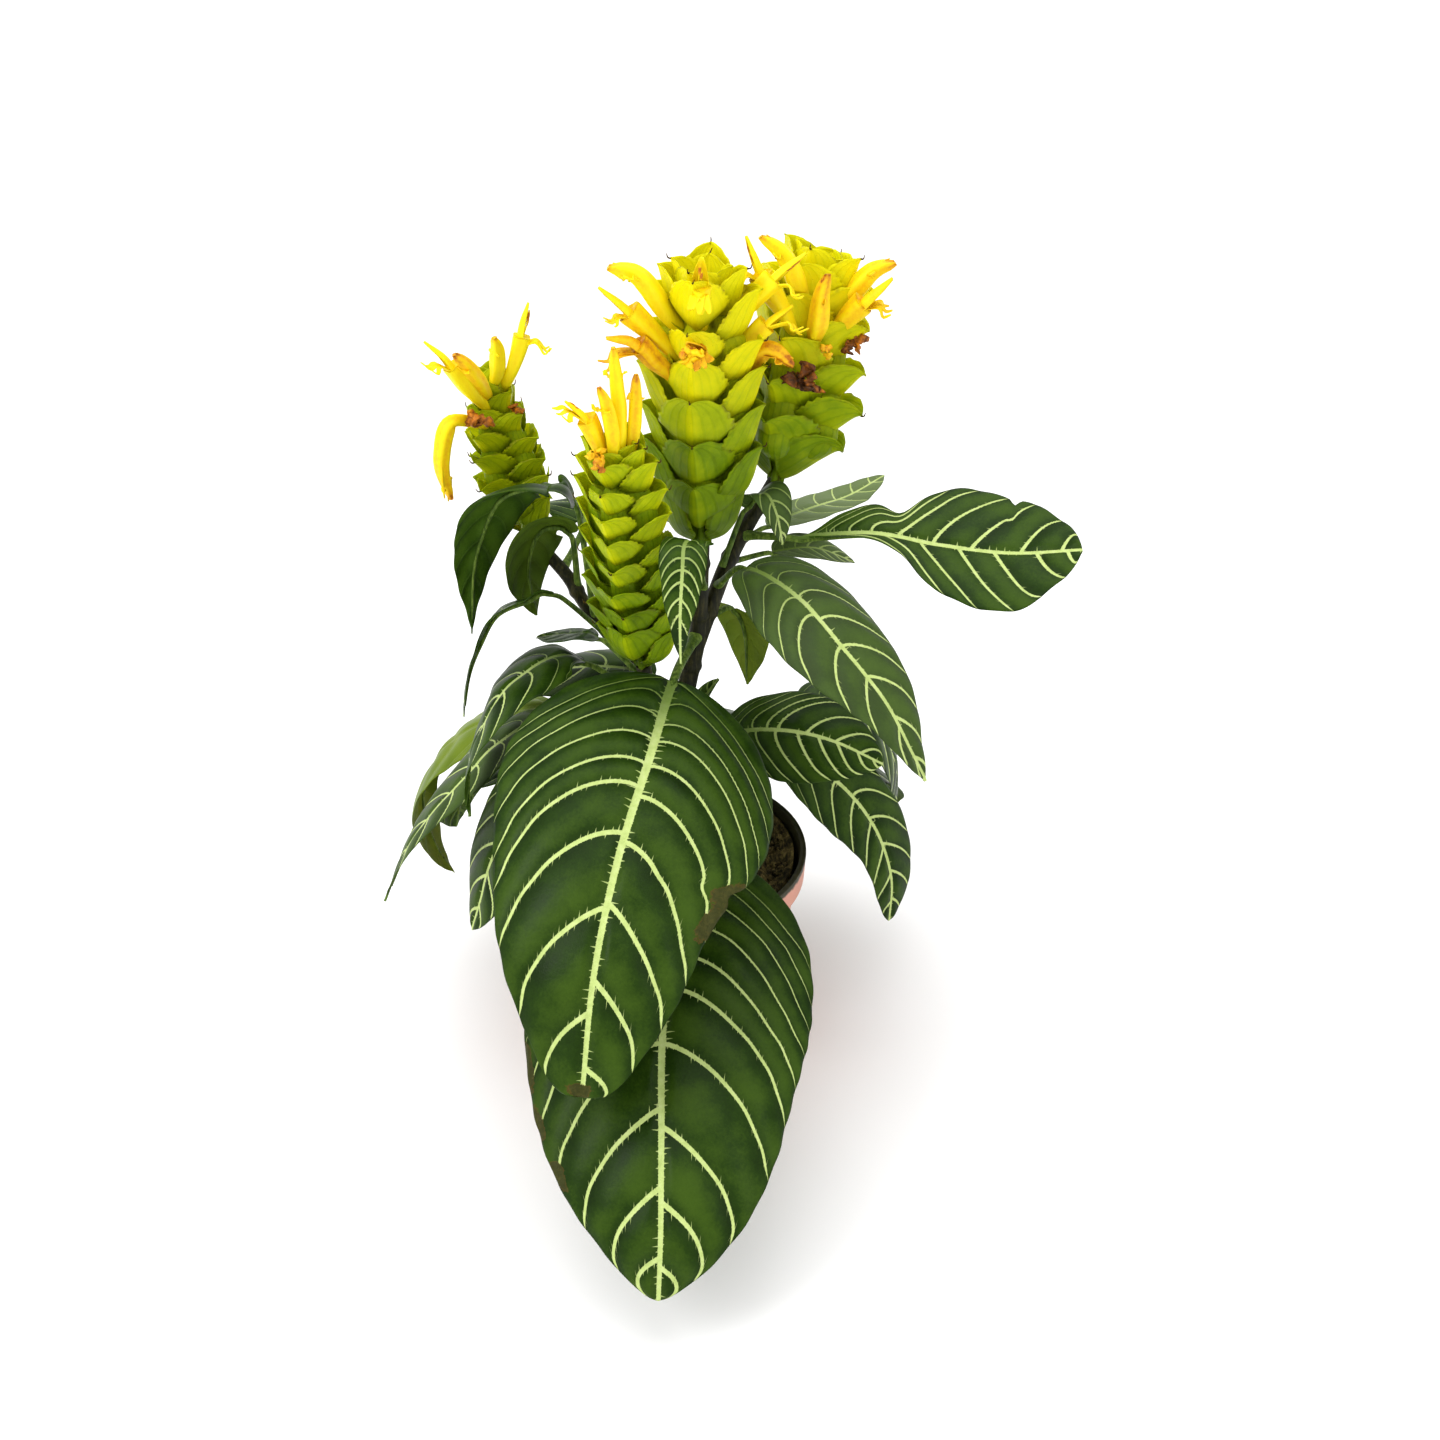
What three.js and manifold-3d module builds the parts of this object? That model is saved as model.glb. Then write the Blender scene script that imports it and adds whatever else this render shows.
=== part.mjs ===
// A flowering aphelandra (zebra plant) in a plastic nursery pot.
// Millimetres, +Z up. The origin is the centre of the pot's foot, and the plant's front is -Y.
//
// The pot holds potting mix, and the main stem stands in it. Three shoots leave the main stem, and the
// main stem and each shoot end in a spike of overlapping bracts. Flowers grow out between the bracts,
// and the leaves grow on petioles from the stems. Every piece is one closed solid, and a piece that
// grows on another ends SEAT short of it.
import * as THREE from "three";
import { mergeVertices } from "three/addons/utils/BufferGeometryUtils.js";
import Module from "manifold-3d";

const wasm = await Module();
wasm.setup();

// ---------------------------------------------------------------- driving dimensions

const SEAT = 0.3; // gap between a piece and what carries it
const TURN = Math.PI / 180;

const POT = {
  height: 105,
  rimRadius: 60,
  footRadius: 42,
  wall: 1.8,
  band: 14, // height of the thicker band under the rim
  bandProud: 2,
  sides: 48,
  holes: 6,
  holeRadius: 4,
  holeCircle: 26,
};
const MIX = { top: 94, dome: 3 }; // height at the wall, and how much higher the middle is

const LEAF_THICKNESS = 1.1;
const PETIOLE_HALF_WIDTH = 2.4;
const TIP_HALF_WIDTH = 1.2;
const PETIOLE_DEPTH = 3.2;

// Stems: a route from the bottom to the top, and the radius at each end.
const STEMS = [
  {
    name: "main_stem",
    route: [[0, 0, 48], [1, 0, 120], [3, 0, 185], [9, 1, 222], [11, 0, 268]],
    radius: [5.5, 3.6],
  },
  {
    name: "right_shoot",
    route: [[5, 0, 205], [14, 4, 232], [26, 13, 260], [43, 24, 286]],
    radius: [4, 3.2],
  },
  {
    name: "front_shoot",
    route: [[0, -2, 160], [-7, -14, 190], [-12, -26, 211], [-14, -31, 226]],
    radius: [3.8, 3.2],
  },
  {
    name: "left_shoot",
    route: [[1, 1, 172], [-16, 5, 200], [-38, 10, 227], [-50, 17, 244], [-66, 27, 258]],
    radius: [4, 2.8],
  },
];

// Spikes: the stem that each ends, the tip of its axis, its half width at five heights from the base up,
// its ranks of bracts (four, each with this many), the turn of the ranks, a bract's length, and how much
// of the half width its free tip takes up.
const SPIKES = [
  {
    name: "spike_centre",
    stem: "main_stem", tip: [12, 0, 392], reach: [15, 25, 26, 25, 20],
    perRank: 6, turn: 6, bract: 32, free: 0.2,
  },
  {
    name: "spike_front",
    stem: "front_shoot", tip: [-23, -41, 337], reach: [15, 21, 21, 20, 15],
    perRank: 8, turn: 12, bract: 25, free: 0.34,
  },
  {
    name: "spike_right",
    stem: "right_shoot", tip: [60, 42, 374], reach: [20, 32, 28, 26, 20],
    perRank: 5, turn: 20, bract: 38, free: 0.34,
  },
  {
    name: "spike_left",
    stem: "left_shoot", tip: [-81, 32, 332], reach: [14, 21, 20, 14, 10],
    perRank: 6, turn: 30, bract: 23, free: 0.36,
  },
];

// Leaves. rib is the midrib from the stem: its first span is the petiole, and the blade runs from the
// second point to the tip. width is across the flat blade. ends says how blunt the blade is at its base
// and tip, where a small number is round, and how much it tapers in between. fold is how far the left
// and right half tilt up from the midrib, at the base and then at the tip. droop is how far each half
// bends down on its way to the margin, and roll turns the blade's right side down, each at the base
// and the tip. Angles are degrees.
const LEAVES = [
  {
    name: "leaf_front_upper", width: 120, ends: [0.5, 0.25, 0.8],
    fold: [-6, 8, 0, 4], droop: [24, 45], roll: [-12, 0],
    rib: [
      [8, -2, 222], [-1, -36, 221], [-10, -78, 210], [-22, -120, 189], [-31, -155, 158],
      [-36, -180, 116],
    ],
  },
  {
    name: "leaf_front_lower", width: 128, ends: [0.45, 0.72, 0],
    fold: [4, 4, 0, 0], droop: [20, 50], roll: [0, 0],
    rib: [
      [1, -5, 140], [4, -46, 134], [0, -88, 124], [-5, -130, 107], [-5, -172, 85],
      [-5, -200, 61], [-6, -214, 36],
    ],
  },
  {
    name: "leaf_right_front", width: 56, ends: [0.5, 1.05, 0],
    fold: [8, 8, 8, 8], droop: [30, 30], roll: [0, 0],
    rib: [
      [18, 6, 244], [30, -16, 265], [51, -33, 261], [69, -53, 249], [87, -69, 232],
      [98, -79, 214], [105, -81, 200],
    ],
  },
  {
    name: "leaf_right_far", width: 64, ends: [1.5, 0.7, 0],
    fold: [0, 50, 0, 0], droop: [10, 25], roll: [28, 28],
    rib: [[30, 13, 265], [50, 4, 269], [84, 0, 273], [113, -5, 270], [142, -12, 270], [171, -20, 276]],
  },
  {
    name: "leaf_right_back", width: 23, ends: [0.5, 0.7, 0],
    fold: [0, 0, 0, 0], droop: [0, 0], roll: [0, 0],
    rib: [[24, 12, 258], [40, 24, 264], [60, 45, 262], [78, 65, 258], [96, 86, 258]],
  },
  {
    name: "leaf_right_curl", width: 20, ends: [0.5, 0.9, 0],
    fold: [15, 15, 15, 15], droop: [0, 0], roll: [0, 0],
    rib: [[20, 7, 253], [30, 10, 280], [38, 4, 290], [43, -3, 284], [46, -7, 271]],
  },
  {
    name: "leaf_right_small", width: 24, ends: [0.5, 0.7, 0],
    fold: [10, 10, 0, 0], droop: [0, 10], roll: [0, 0],
    rib: [[20, 10, 252], [42, 18, 254], [61, 22, 254], [79, 20, 248]],
  },
  {
    name: "leaf_centre_small", width: 20, ends: [0.38, 1.15, 0],
    fold: [5, 5, 5, 5], droop: [15, 15], roll: [0, 0],
    rib: [
      [12, -3, 248], [9, -46, 292], [5, -58, 299], [4, -66, 290], [3, -71, 272], [3, -73, 252],
    ],
  },
  {
    name: "leaf_right_hang", width: 30, ends: [0.25, 0.95, 0],
    fold: [0, 0, 0, 0], droop: [10, 10], roll: [0, 0],
    rib: [[13, 4, 228], [25, 14, 228], [31, 20, 212], [32, 23, 182]],
  },
  {
    name: "leaf_right_mid", width: 50, ends: [0.7, 0.75, 0],
    fold: [0, 0, 0, 0], droop: [20, 20], roll: [22, 22],
    rib: [[4, 0, 182], [17, -10, 177], [37, -12, 180], [55, -16, 181], [72, -20, 178], [92, -25, 170]],
  },
  {
    name: "leaf_right_low", width: 46, ends: [0.55, 0.75, 0],
    fold: [0, 0, 0, 0], droop: [15, 25], roll: [10, 45],
    rib: [
      [3, 0, 166], [37, 5, 160], [58, 5, 152], [78, 3, 136], [93, -1, 115], [101, -5, 90],
      [101, -8, 66],
    ],
  },
  {
    name: "leaf_right_low_back", width: 44, ends: [0.5, 0.8, 0],
    fold: [0, 0, 0, 0], droop: [15, 15], roll: [0, 30],
    rib: [[4, 5, 160], [57, 32, 167], [88, 42, 151], [104, 44, 126], [106, 44, 92]],
  },
  {
    name: "leaf_left_up", width: 40, ends: [0.5, 1.35, 0],
    fold: [0, 0, 0, 0], droop: [20, 20], roll: [20, 45],
    rib: [
      [-37, 9, 226], [-42, -8, 293], [-53, -10, 301], [-65, -10, 300], [-75, -6, 292],
      [-83, 0, 274], [-89, 4, 252], [-92, 7, 219],
    ],
  },
  {
    name: "leaf_left_up_back", width: 34, ends: [0.5, 0.95, 0],
    fold: [0, 0, 0, 0], droop: [15, 15], roll: [50, 40],
    rib: [[-44, 14, 238], [-46, 10, 268], [-56, 9, 272], [-63, 9, 264], [-66, 9, 247], [-63, 9, 227]],
  },
  {
    name: "leaf_left_thin", width: 22, ends: [0.6, 1, 0],
    fold: [0, 0, 0, 0], droop: [0, 0], roll: [30, 0],
    rib: [
      [-28, 7, 214], [-53, -8, 248], [-65, -12, 247], [-78, -14, 241], [-86, -14, 226],
      [-92, -14, 210], [-96, -14, 188],
    ],
  },
  {
    name: "leaf_left_short", width: 28, ends: [0.5, 1, 0],
    fold: [0, 0, 0, 0], droop: [10, 10], roll: [20, 10],
    rib: [[-12, -24, 212], [-33, -22, 234], [-45, -20, 235], [-61, -13, 229]],
  },
  {
    name: "leaf_left_mid", width: 42, ends: [0.5, 1.1, 0],
    fold: [0, 0, 0, 0], droop: [20, 20], roll: [0, 50],
    rib: [
      [-8, -18, 194], [-40, -14, 217], [-53, -16, 221], [-67, -25, 217], [-78, -34, 209],
      [-90, -46, 186], [-91, -54, 162],
    ],
  },
  {
    name: "leaf_left_back", width: 46, ends: [0.6, 0.9, 0],
    fold: [0, 0, 0, 0], droop: [20, 20], roll: [0, 0],
    rib: [
      [-2, 4, 164], [-58, 18, 172], [-88, 22, 163], [-113, 26, 143], [-126, 28, 114],
      [-122, 29, 84], [-114, 30, 66],
    ],
  },
  {
    name: "leaf_left_long", width: 32, ends: [0.6, 1.2, 0],
    fold: [0, 0, 0, 0], droop: [10, 10], roll: [0, 25],
    rib: [
      [-4, -8, 168], [-53, -12, 187], [-79, -22, 180], [-95, -32, 167], [-110, -40, 153],
      [-122, -46, 137], [-133, -50, 112],
    ],
  },
  {
    name: "leaf_left_low", width: 56, ends: [0.5, 0.8, 0],
    fold: [0, 0, 0, 0], droop: [20, 20], roll: [0, 0],
    rib: [
      [-2, -3, 150], [-38, -16, 168], [-54, -24, 170], [-72, -36, 154], [-85, -44, 128],
      [-90, -48, 111], [-95, -50, 95],
    ],
  },
  {
    name: "leaf_left_wide", width: 42, ends: [0.5, 0.8, 0],
    fold: [0, 0, 0, 0], droop: [20, 20], roll: [0, 0],
    rib: [[2, -1, 182], [-10, 1, 200], [-30, 6, 202], [-50, 11, 198], [-66, 16, 188], [-77, 20, 174]],
  },
  {
    name: "leaf_young", width: 10, ends: [0.7, 1, 0],
    fold: [25, 25, 25, 25], droop: [0, 0], roll: [0, 0],
    rib: [[4, 2, 172], [9, 8, 178], [13, 11, 184], [18, 13, 191]],
  },
  {
    name: "leaf_back_low", width: 98, ends: [0.5, 0.7, 0],
    fold: [6, 6, 0, 0], droop: [20, 30], roll: [0, 0],
    rib: [[1, 4, 116], [-6, 42, 130], [-12, 80, 126], [-16, 118, 108], [-20, 148, 82], [-22, 164, 50]],
  },
  {
    name: "leaf_back_left", width: 80, ends: [0.5, 0.8, 0],
    fold: [6, 6, 0, 0], droop: [20, 30], roll: [0, 0],
    rib: [[-2, 3, 134], [-40, 30, 142], [-72, 50, 132], [-98, 68, 110], [-114, 80, 82], [-120, 86, 54]],
  },
  {
    name: "leaf_back_right", width: 74, ends: [0.5, 0.8, 0],
    fold: [6, 6, 0, 0], droop: [20, 30], roll: [0, 0],
    rib: [[3, 3, 130], [36, 33, 136], [63, 60, 124], [85, 81, 104], [99, 96, 78], [105, 104, 52]],
  },
  {
    name: "leaf_back_upper", width: 34, ends: [0.5, 0.9, 0],
    fold: [6, 6, 0, 0], droop: [15, 15], roll: [0, 0],
    rib: [[11, 3, 246], [9, 22, 262], [6, 42, 264], [2, 60, 256], [0, 72, 238]],
  },
  {
    name: "leaf_back_side", width: 36, ends: [0.5, 0.9, 0],
    fold: [6, 6, 0, 0], droop: [15, 15], roll: [0, 0],
    rib: [[-50, 19, 246], [-42, 40, 256], [-44, 60, 258], [-50, 78, 248], [-54, 90, 228]],
  },
];

// Flowers: the spike that each grows from, its route from the axis outwards, and the tip of its lower lip.
const FLOWER_RADII = [1, 1.6, 2.4, 0.8];
const LIP_RADII = [1.4, 1.2, 0.7];
const FLOWERS = [
  { name: "flower_centre_1", route: [[6, -2, 362], [-3, -6, 376], [-12, -10, 391], [-24, -12, 399]] },
  {
    name: "flower_centre_2",
    route: [[5, -4, 352], [-6, -9, 366], [-15, -14, 377], [-28, -16, 390]],
    lip: [-23, -17, 375],
  },
  {
    name: "flower_centre_3",
    route: [[5, -5, 342], [-6, -12, 356], [-15, -16, 367], [-26, -18, 370]],
    lip: [-25, -18, 356],
  },
  {
    name: "flower_centre_4",
    route: [[12, -6, 366], [12, -13, 378], [11, -18, 389], [12, -19, 403]],
    lip: [11, -26, 384],
  },
  {
    name: "flower_centre_5",
    route: [[11, -8, 350], [11, -16, 360], [10, -23, 366], [6, -28, 372]],
    lip: [13, -28, 362],
  },
  {
    name: "flower_centre_6",
    route: [[17, 2, 356], [27, 5, 370], [39, 4, 384], [53, 8, 395]],
    lip: [49, 0, 379],
  },
  {
    name: "flower_centre_7",
    route: [[17, 0, 346], [28, 0, 358], [39, 0, 369], [48, 3, 375]],
    lip: [50, -4, 366],
  },
  { name: "flower_centre_8", route: [[18, 2, 334], [29, 3, 346], [38, 0, 357], [50, -4, 354]] },
  {
    name: "flower_right_1",
    route: [[52, 24, 350], [44, 17, 368], [36, 11, 383], [30, 10, 401]],
    lip: [25, 8, 383],
  },
  { name: "flower_right_2", route: [[56, 32, 360], [51, 22, 376], [46, 18, 388], [37, 18, 400]] },
  { name: "flower_right_3", route: [[62, 36, 350], [72, 31, 366], [81, 30, 378], [90, 30, 385]] },
  {
    name: "flower_right_4",
    route: [[60, 34, 340], [71, 24, 360], [81, 20, 372], [89, 20, 380]],
    lip: [87, 20, 365],
  },
  { name: "flower_right_5", route: [[57, 30, 344], [59, 16, 360], [60, 15, 372], [60, 16, 383]] },
  {
    name: "flower_left_1",
    route: [[-79, 26, 318], [-86, 12, 334], [-93, 6, 350], [-101, 4, 359]],
    lip: [-99, 2, 347],
  },
  { name: "flower_left_2", route: [[-79, 28, 322], [-81, 16, 334], [-85, 8, 346], [-88, 4, 355]] },
  { name: "flower_left_3", route: [[-79, 30, 326], [-75, 24, 336], [-74, 22, 346], [-73, 20, 355]] },
  {
    name: "flower_left_4",
    route: [[-76, 32, 322], [-69, 26, 336], [-64, 26, 351], [-61, 28, 366]],
    lip: [-54, 26, 345],
  },
  { name: "flower_left_5", route: [[-80, 24, 312], [-93, 6, 322], [-98, 2, 307], [-97, 2, 288]] },
  {
    name: "flower_front_1",
    route: [[-25, -42, 322], [-31, -47, 344], [-35, -50, 353], [-40, -52, 358]],
    lip: [-42, -54, 353],
  },
  {
    name: "flower_front_2",
    route: [[-23, -43, 322], [-23, -46, 340], [-25, -48, 356], [-26, -48, 363]],
  },
  {
    name: "flower_front_3",
    route: [[-21, -42, 324], [-20, -42, 343], [-21, -42, 360], [-22, -44, 378]],
  },
  {
    name: "flower_front_4",
    route: [[-18, -40, 322], [-15, -39, 338], [-14, -37, 352], [-14, -36, 363]],
  },
];

// ---------------------------------------------------------------- shapes

const vec = (p) => new THREE.Vector3(...p);
const lerp = THREE.MathUtils.lerp;

// A closed solid through rings of points that all have the same count and turn the same way.
function loft(rings) {
  const count = rings[0].length;
  const points = rings.flat();
  const first = points.length;
  const middle = (ring) => ring.reduce((sum, p) => sum.add(p), new THREE.Vector3()).divideScalar(count);
  points.push(middle(rings[0]), middle(rings.at(-1)));
  const faces = [];
  for (let i = 0; i + 1 < rings.length; i += 1) {
    for (let j = 0; j < count; j += 1) {
      const k = (j + 1) % count;
      const [a, b, c, d] = [i * count + j, i * count + k, (i + 1) * count + k, (i + 1) * count + j];
      faces.push(a, b, c, a, c, d);
    }
  }
  const last = (rings.length - 1) * count;
  for (let j = 0; j < count; j += 1) {
    const k = (j + 1) % count;
    faces.push(first, k, j, first + 1, last + j, last + k);
  }
  const geometry = new THREE.BufferGeometry().setFromPoints(points);
  geometry.setIndex(faces);
  return geometry;
}

// The solid of a closed geometry, for joining and cutting.
function solid(geometry) {
  const bare = new THREE.BufferGeometry().setAttribute("position", geometry.getAttribute("position"));
  bare.setIndex(geometry.index);
  const merged = mergeVertices(bare, 1e-4);
  const made = new wasm.Manifold(
    new wasm.Mesh({
      numProp: 3,
      vertProperties: merged.attributes.position.array,
      triVerts: new Uint32Array(merged.index.array),
    }),
  );
  return made;
}

function geometryOf(made) {
  const mesh = made.getMesh();
  const geometry = new THREE.BufferGeometry();
  geometry.setAttribute("position", new THREE.BufferAttribute(new Float32Array(mesh.vertProperties), 3));
  geometry.setIndex(new THREE.BufferAttribute(new Uint32Array(mesh.triVerts), 1));
  return geometry;
}

const largest = (made) => made.decompose().reduce((a, b) => (b.volume() > a.volume() ? b : a));

// The frame of a curve at a share of its length: the point, the way on, the way across and the way up.
// across is level and square to the way from one end to the other, then turned by roll.
function frameAt(curve, share, level, roll) {
  const at = curve.getPointAt(share);
  const on = curve.getTangentAt(share);
  const across = level.clone().addScaledVector(on, -level.dot(on)).normalize().applyAxisAngle(on, roll);
  const up = across.clone().cross(on);
  return { at, on, across, up };
}

// How far across and up a half blade reaches at a distance out along its surface: it leaves the midrib
// at the angle fold and bends down evenly.
function halfBlade(out, fold, bend) {
  if (Math.abs(bend) < 1e-5) return [out * Math.cos(fold), out * Math.sin(fold)];
  const end = fold - bend * out;
  return [(Math.sin(fold) - Math.sin(end)) / bend, (Math.cos(end) - Math.cos(fold)) / bend];
}

// The width of a blade at a share of its length, before it is scaled to its widest.
const swell = (share, [base, tip, taper]) => share ** base * (1 - share) ** tip * (1 - taper * share);
const WIDEST = Array.from({ length: 39 }, (_, i) => (i + 1) / 40);
const outline = (share, ends) => swell(share, ends) / Math.max(...WIDEST.map((at) => swell(at, ends)));

const PETIOLE_STATIONS = [0, 0.5, 0.92];
const BLADE_STATIONS = [0.06, 0.17, 0.31, 0.46, 0.61, 0.76, 0.89, 0.985];
const COLUMNS = [-1, -0.5, 0, 0.5, 1];

function leafGeometry({ rib, width, ends, fold, droop, roll }) {
  const curve = new THREE.CatmullRomCurve3(rib.map(vec), false, "catmullrom", 0.5);
  curve.arcLengthDivisions = 400;
  const lengths = curve.getLengths(400);
  const petiole = lengths[Math.round(400 / (rib.length - 1))] / lengths[400];
  const ahead = vec(rib.at(-1)).sub(vec(rib[1])).setZ(0).normalize();
  const level = ahead.cross(new THREE.Vector3(0, 0, 1));
  const stations = [
    ...PETIOLE_STATIONS.map((t) => ({ share: t * petiole, blade: 0 })),
    ...BLADE_STATIONS.map((t) => ({ share: petiole + t * (1 - petiole), blade: t })),
  ];
  const rings = stations.map(({ share, blade }) => {
    const { at, across, up } = frameAt(curve, share, level, lerp(roll[0], roll[1], blade) * TURN);
    const least = blade > 0.5 ? TIP_HALF_WIDTH : PETIOLE_HALF_WIDTH;
    const half = Math.max(blade > 0 ? (width / 2) * outline(blade, ends) : 0, least);
    const thick = blade > 0 ? LEAF_THICKNESS : PETIOLE_DEPTH;
    const bend = (lerp(droop[0], droop[1], blade) * TURN) / (width / 2);
    const folds = [lerp(fold[0], fold[2], blade) * TURN, lerp(fold[1], fold[3], blade) * TURN];
    const place = (column, side) => {
      const angle = blade > 0 ? folds[column < 0 ? 0 : 1] : 0;
      const [x, z] = halfBlade(Math.abs(column) * half, angle, blade > 0 ? bend : 0);
      const sideways = Math.sign(column) * x;
      return at.clone().addScaledVector(across, sideways).addScaledVector(up, z + (side * thick) / 2);
    };
    return [...COLUMNS.map((c) => place(c, 1)), ...COLUMNS.map((c) => place(-c, -1))];
  });
  return loft(rings);
}

function ringAbout({ at, across, up }, radius, sides, start = 0) {
  return Array.from({ length: sides }, (_, i) => {
    const a = start - (i / sides) * 2 * Math.PI;
    const out = across.clone().multiplyScalar(Math.cos(a)).addScaledVector(up, Math.sin(a));
    return at.clone().addScaledVector(out, radius);
  });
}

// A curve's frame, moved outwards by extra where it is at either end of the curve.
function endFrame(frame, share, extra) {
  const way = share === 0 ? -extra : share === 1 ? extra : 0;
  return { ...frame, at: frame.at.clone().addScaledVector(frame.on, way) };
}

// A round rod of changing thickness along a route. extra makes it wider and longer all round.
function rodSolid(route, radii, sides, extra = 0) {
  const curve = new THREE.CatmullRomCurve3(route.map(vec), false, "catmullrom", 0.5);
  const level = new THREE.Vector3(0.3, 1, 0).normalize();
  const steps = radii.length - 1;
  const rings = radii.map((radius, i) => {
    const frame = endFrame(frameAt(curve, i / steps, level, 0), i / steps, extra);
    return ringAbout(frame, radius + extra, sides);
  });
  return solid(loft(rings));
}

const FLOWER_SIDES = 6;

function flowerSolid({ route, lip }, extra = 0) {
  const tube = rodSolid(route, FLOWER_RADII, FLOWER_SIDES, extra);
  if (!lip) return tube;
  const between = route[2].map((x, i) => lerp(x, lip[i], 0.6));
  return tube.add(rodSolid([route[2], between, lip], LIP_RADII, FLOWER_SIDES - 1, extra));
}

const STEM_SIDES = 8;
const STEM_STEPS = 10;

function stemGeometry({ route, radius }, extra = 0) {
  const curve = new THREE.CatmullRomCurve3(route.map(vec), false, "catmullrom", 0.5);
  const level = new THREE.Vector3(0, 1, 0);
  const rings = Array.from({ length: STEM_STEPS + 1 }, (_, i) => {
    const share = i / STEM_STEPS;
    const frame = endFrame(frameAt(curve, share, level, 0), share, extra);
    return ringAbout(frame, lerp(radius[0], radius[1], share) + extra, STEM_SIDES);
  });
  return loft(rings);
}

function latheSolid(profile, sides) {
  const points = profile.map(([r, z]) => new THREE.Vector2(r, z));
  const geometry = new THREE.LatheGeometry(points, sides);
  geometry.rotateX(Math.PI / 2);
  return geometry;
}

// ---------------------------------------------------------------- pot and potting mix

const potRadius = (z) => lerp(POT.footRadius, POT.rimRadius - POT.bandProud, z / POT.height);

function potGeometry() {
  const { height, wall, band, bandProud, rimRadius, footRadius, sides } = POT;
  const bandFoot = height - band;
  const profile = [
    [0, 0],
    [footRadius - 1, 0],
    [footRadius, 1],
    [potRadius(bandFoot), bandFoot],
    [rimRadius - 0.6, bandFoot + 1],
    [rimRadius, height],
    [rimRadius - bandProud - wall, height],
    [potRadius(wall) - wall, wall],
    [0, wall],
  ];
  let made = solid(latheSolid(profile, sides));
  for (let i = 0; i < POT.holes; i += 1) {
    const a = (i / POT.holes) * 2 * Math.PI;
    const hole = new THREE.CylinderGeometry(POT.holeRadius, POT.holeRadius, 12, 12);
    hole.rotateX(Math.PI / 2);
    hole.translate(POT.holeCircle * Math.cos(a), POT.holeCircle * Math.sin(a), 0);
    made = made.subtract(solid(hole));
  }
  return made;
}

function mixGeometry() {
  const { wall, sides } = POT;
  const foot = wall + SEAT;
  const inside = (z) => potRadius(z) - wall - SEAT * 1.5;
  const profile = [
    [0, foot],
    [inside(foot), foot],
    [inside(MIX.top), MIX.top],
    [inside(MIX.top) * 0.6, MIX.top + MIX.dome * 0.7],
    [0, MIX.top + MIX.dome],
  ];
  return solid(latheSolid(profile, sides));
}

// ---------------------------------------------------------------- spikes

// One bract: a pointed scale that wraps part of the axis, leans out and ends in a free tip.
// rise is along the bract, out is from its foot to the wall it makes round the axis, tip is how much of
// the free tip's reach is added, wrap is how far round a side goes, and depth is the share of the way
// back to the axis that is filled.
const BRACT_ROOT = 2.5; // distance of a bract's foot from the axis
const CORE_TIP_RADIUS = 4.5;
const RANK_TWIST = 0.7; // each pair of bracts is turned this much past square to the pair below
const BRACT_RINGS = [
  { rise: 0, out: 0, tip: 0, wrap: 40, depth: 0.9 },
  { rise: 0.15, out: 0.75, tip: 0, wrap: 58, depth: 0.88 },
  { rise: 0.6, out: 1, tip: 0.2, wrap: 42, depth: 0.35 },
  { rise: 0.8, out: 1, tip: 1, wrap: 3, depth: 0.05 },
];

function bractSolid({ at, on, across, up }, angle, reach, length, free) {
  const rings = BRACT_RINGS.map(({ rise, out, tip, wrap, depth }) => {
    const place = (turn, radius) => {
      const way = across.clone().multiplyScalar(Math.cos(turn)).addScaledVector(up, Math.sin(turn));
      return at.clone().addScaledVector(on, rise * length).addScaledVector(way, radius);
    };
    const radius = lerp(BRACT_ROOT, reach * (1 - free), out) + reach * free * tip;
    const side = wrap * TURN;
    return [
      place(angle + side, radius * 0.88),
      place(angle, radius),
      place(angle - side, radius * 0.88),
      place(angle, radius * (1 - depth)),
    ];
  });
  return solid(loft(rings));
}

function spikeSolid(spike) {
  const stem = STEMS.find((s) => s.name === spike.stem);
  const foot = vec(stem.route.at(-1));
  const tip = vec(spike.tip);
  const on = tip.clone().sub(foot).normalize();
  foot.addScaledVector(on, SEAT);
  const across = new THREE.Vector3(1, 0, 0).addScaledVector(on, -on.x).normalize();
  const up = across.clone().cross(on);
  const length = tip.distanceTo(foot);
  const reachAt = (share) => {
    const step = Math.min(share, 0.999) * (spike.reach.length - 1);
    const i = Math.floor(step);
    return lerp(spike.reach[i], spike.reach[i + 1], step - i);
  };
  const frame = (share) => ({ at: foot.clone().addScaledVector(on, share * length), on, across, up });
  const coreRadius = (share) => lerp(stem.radius[1], CORE_TIP_RADIUS, share);
  const core = loft([0, 0.25, 0.6, 0.97].map((share) => ringAbout(frame(share), coreRadius(share), 6)));
  const parts = [solid(core)];
  const levels = spike.perRank * 2;
  for (let level = 0; level < levels; level += 1) {
    const share = (level / levels) * 0.86 + 0.01;
    const size = lerp(1, 0.8, share);
    for (let side = 0; side < 2; side += 1) {
      const angle = (spike.turn + level * (90 + RANK_TWIST) + side * 180) * TURN;
      const reach = reachAt(Math.min(share + 0.1, 1));
      parts.push(bractSolid(frame(share), angle, reach, spike.bract * size, spike.free));
    }
  }
  return wasm.Manifold.union(parts);
}

// ---------------------------------------------------------------- assembly

const plant = new THREE.Group();

const FINISH = {
  pot: { color: 0xb98572, roughness: 0.6 },
  potting_mix: { color: 0x2c2416, roughness: 1 },
  stem: { color: 0x3a3a24, roughness: 0.8 },
  leaf: { color: 0x2c5a22, roughness: 0.45 },
  bract: { color: 0xa9b012, roughness: 0.55 },
  flower: { color: 0xf2d80c, roughness: 0.6 },
};

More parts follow.
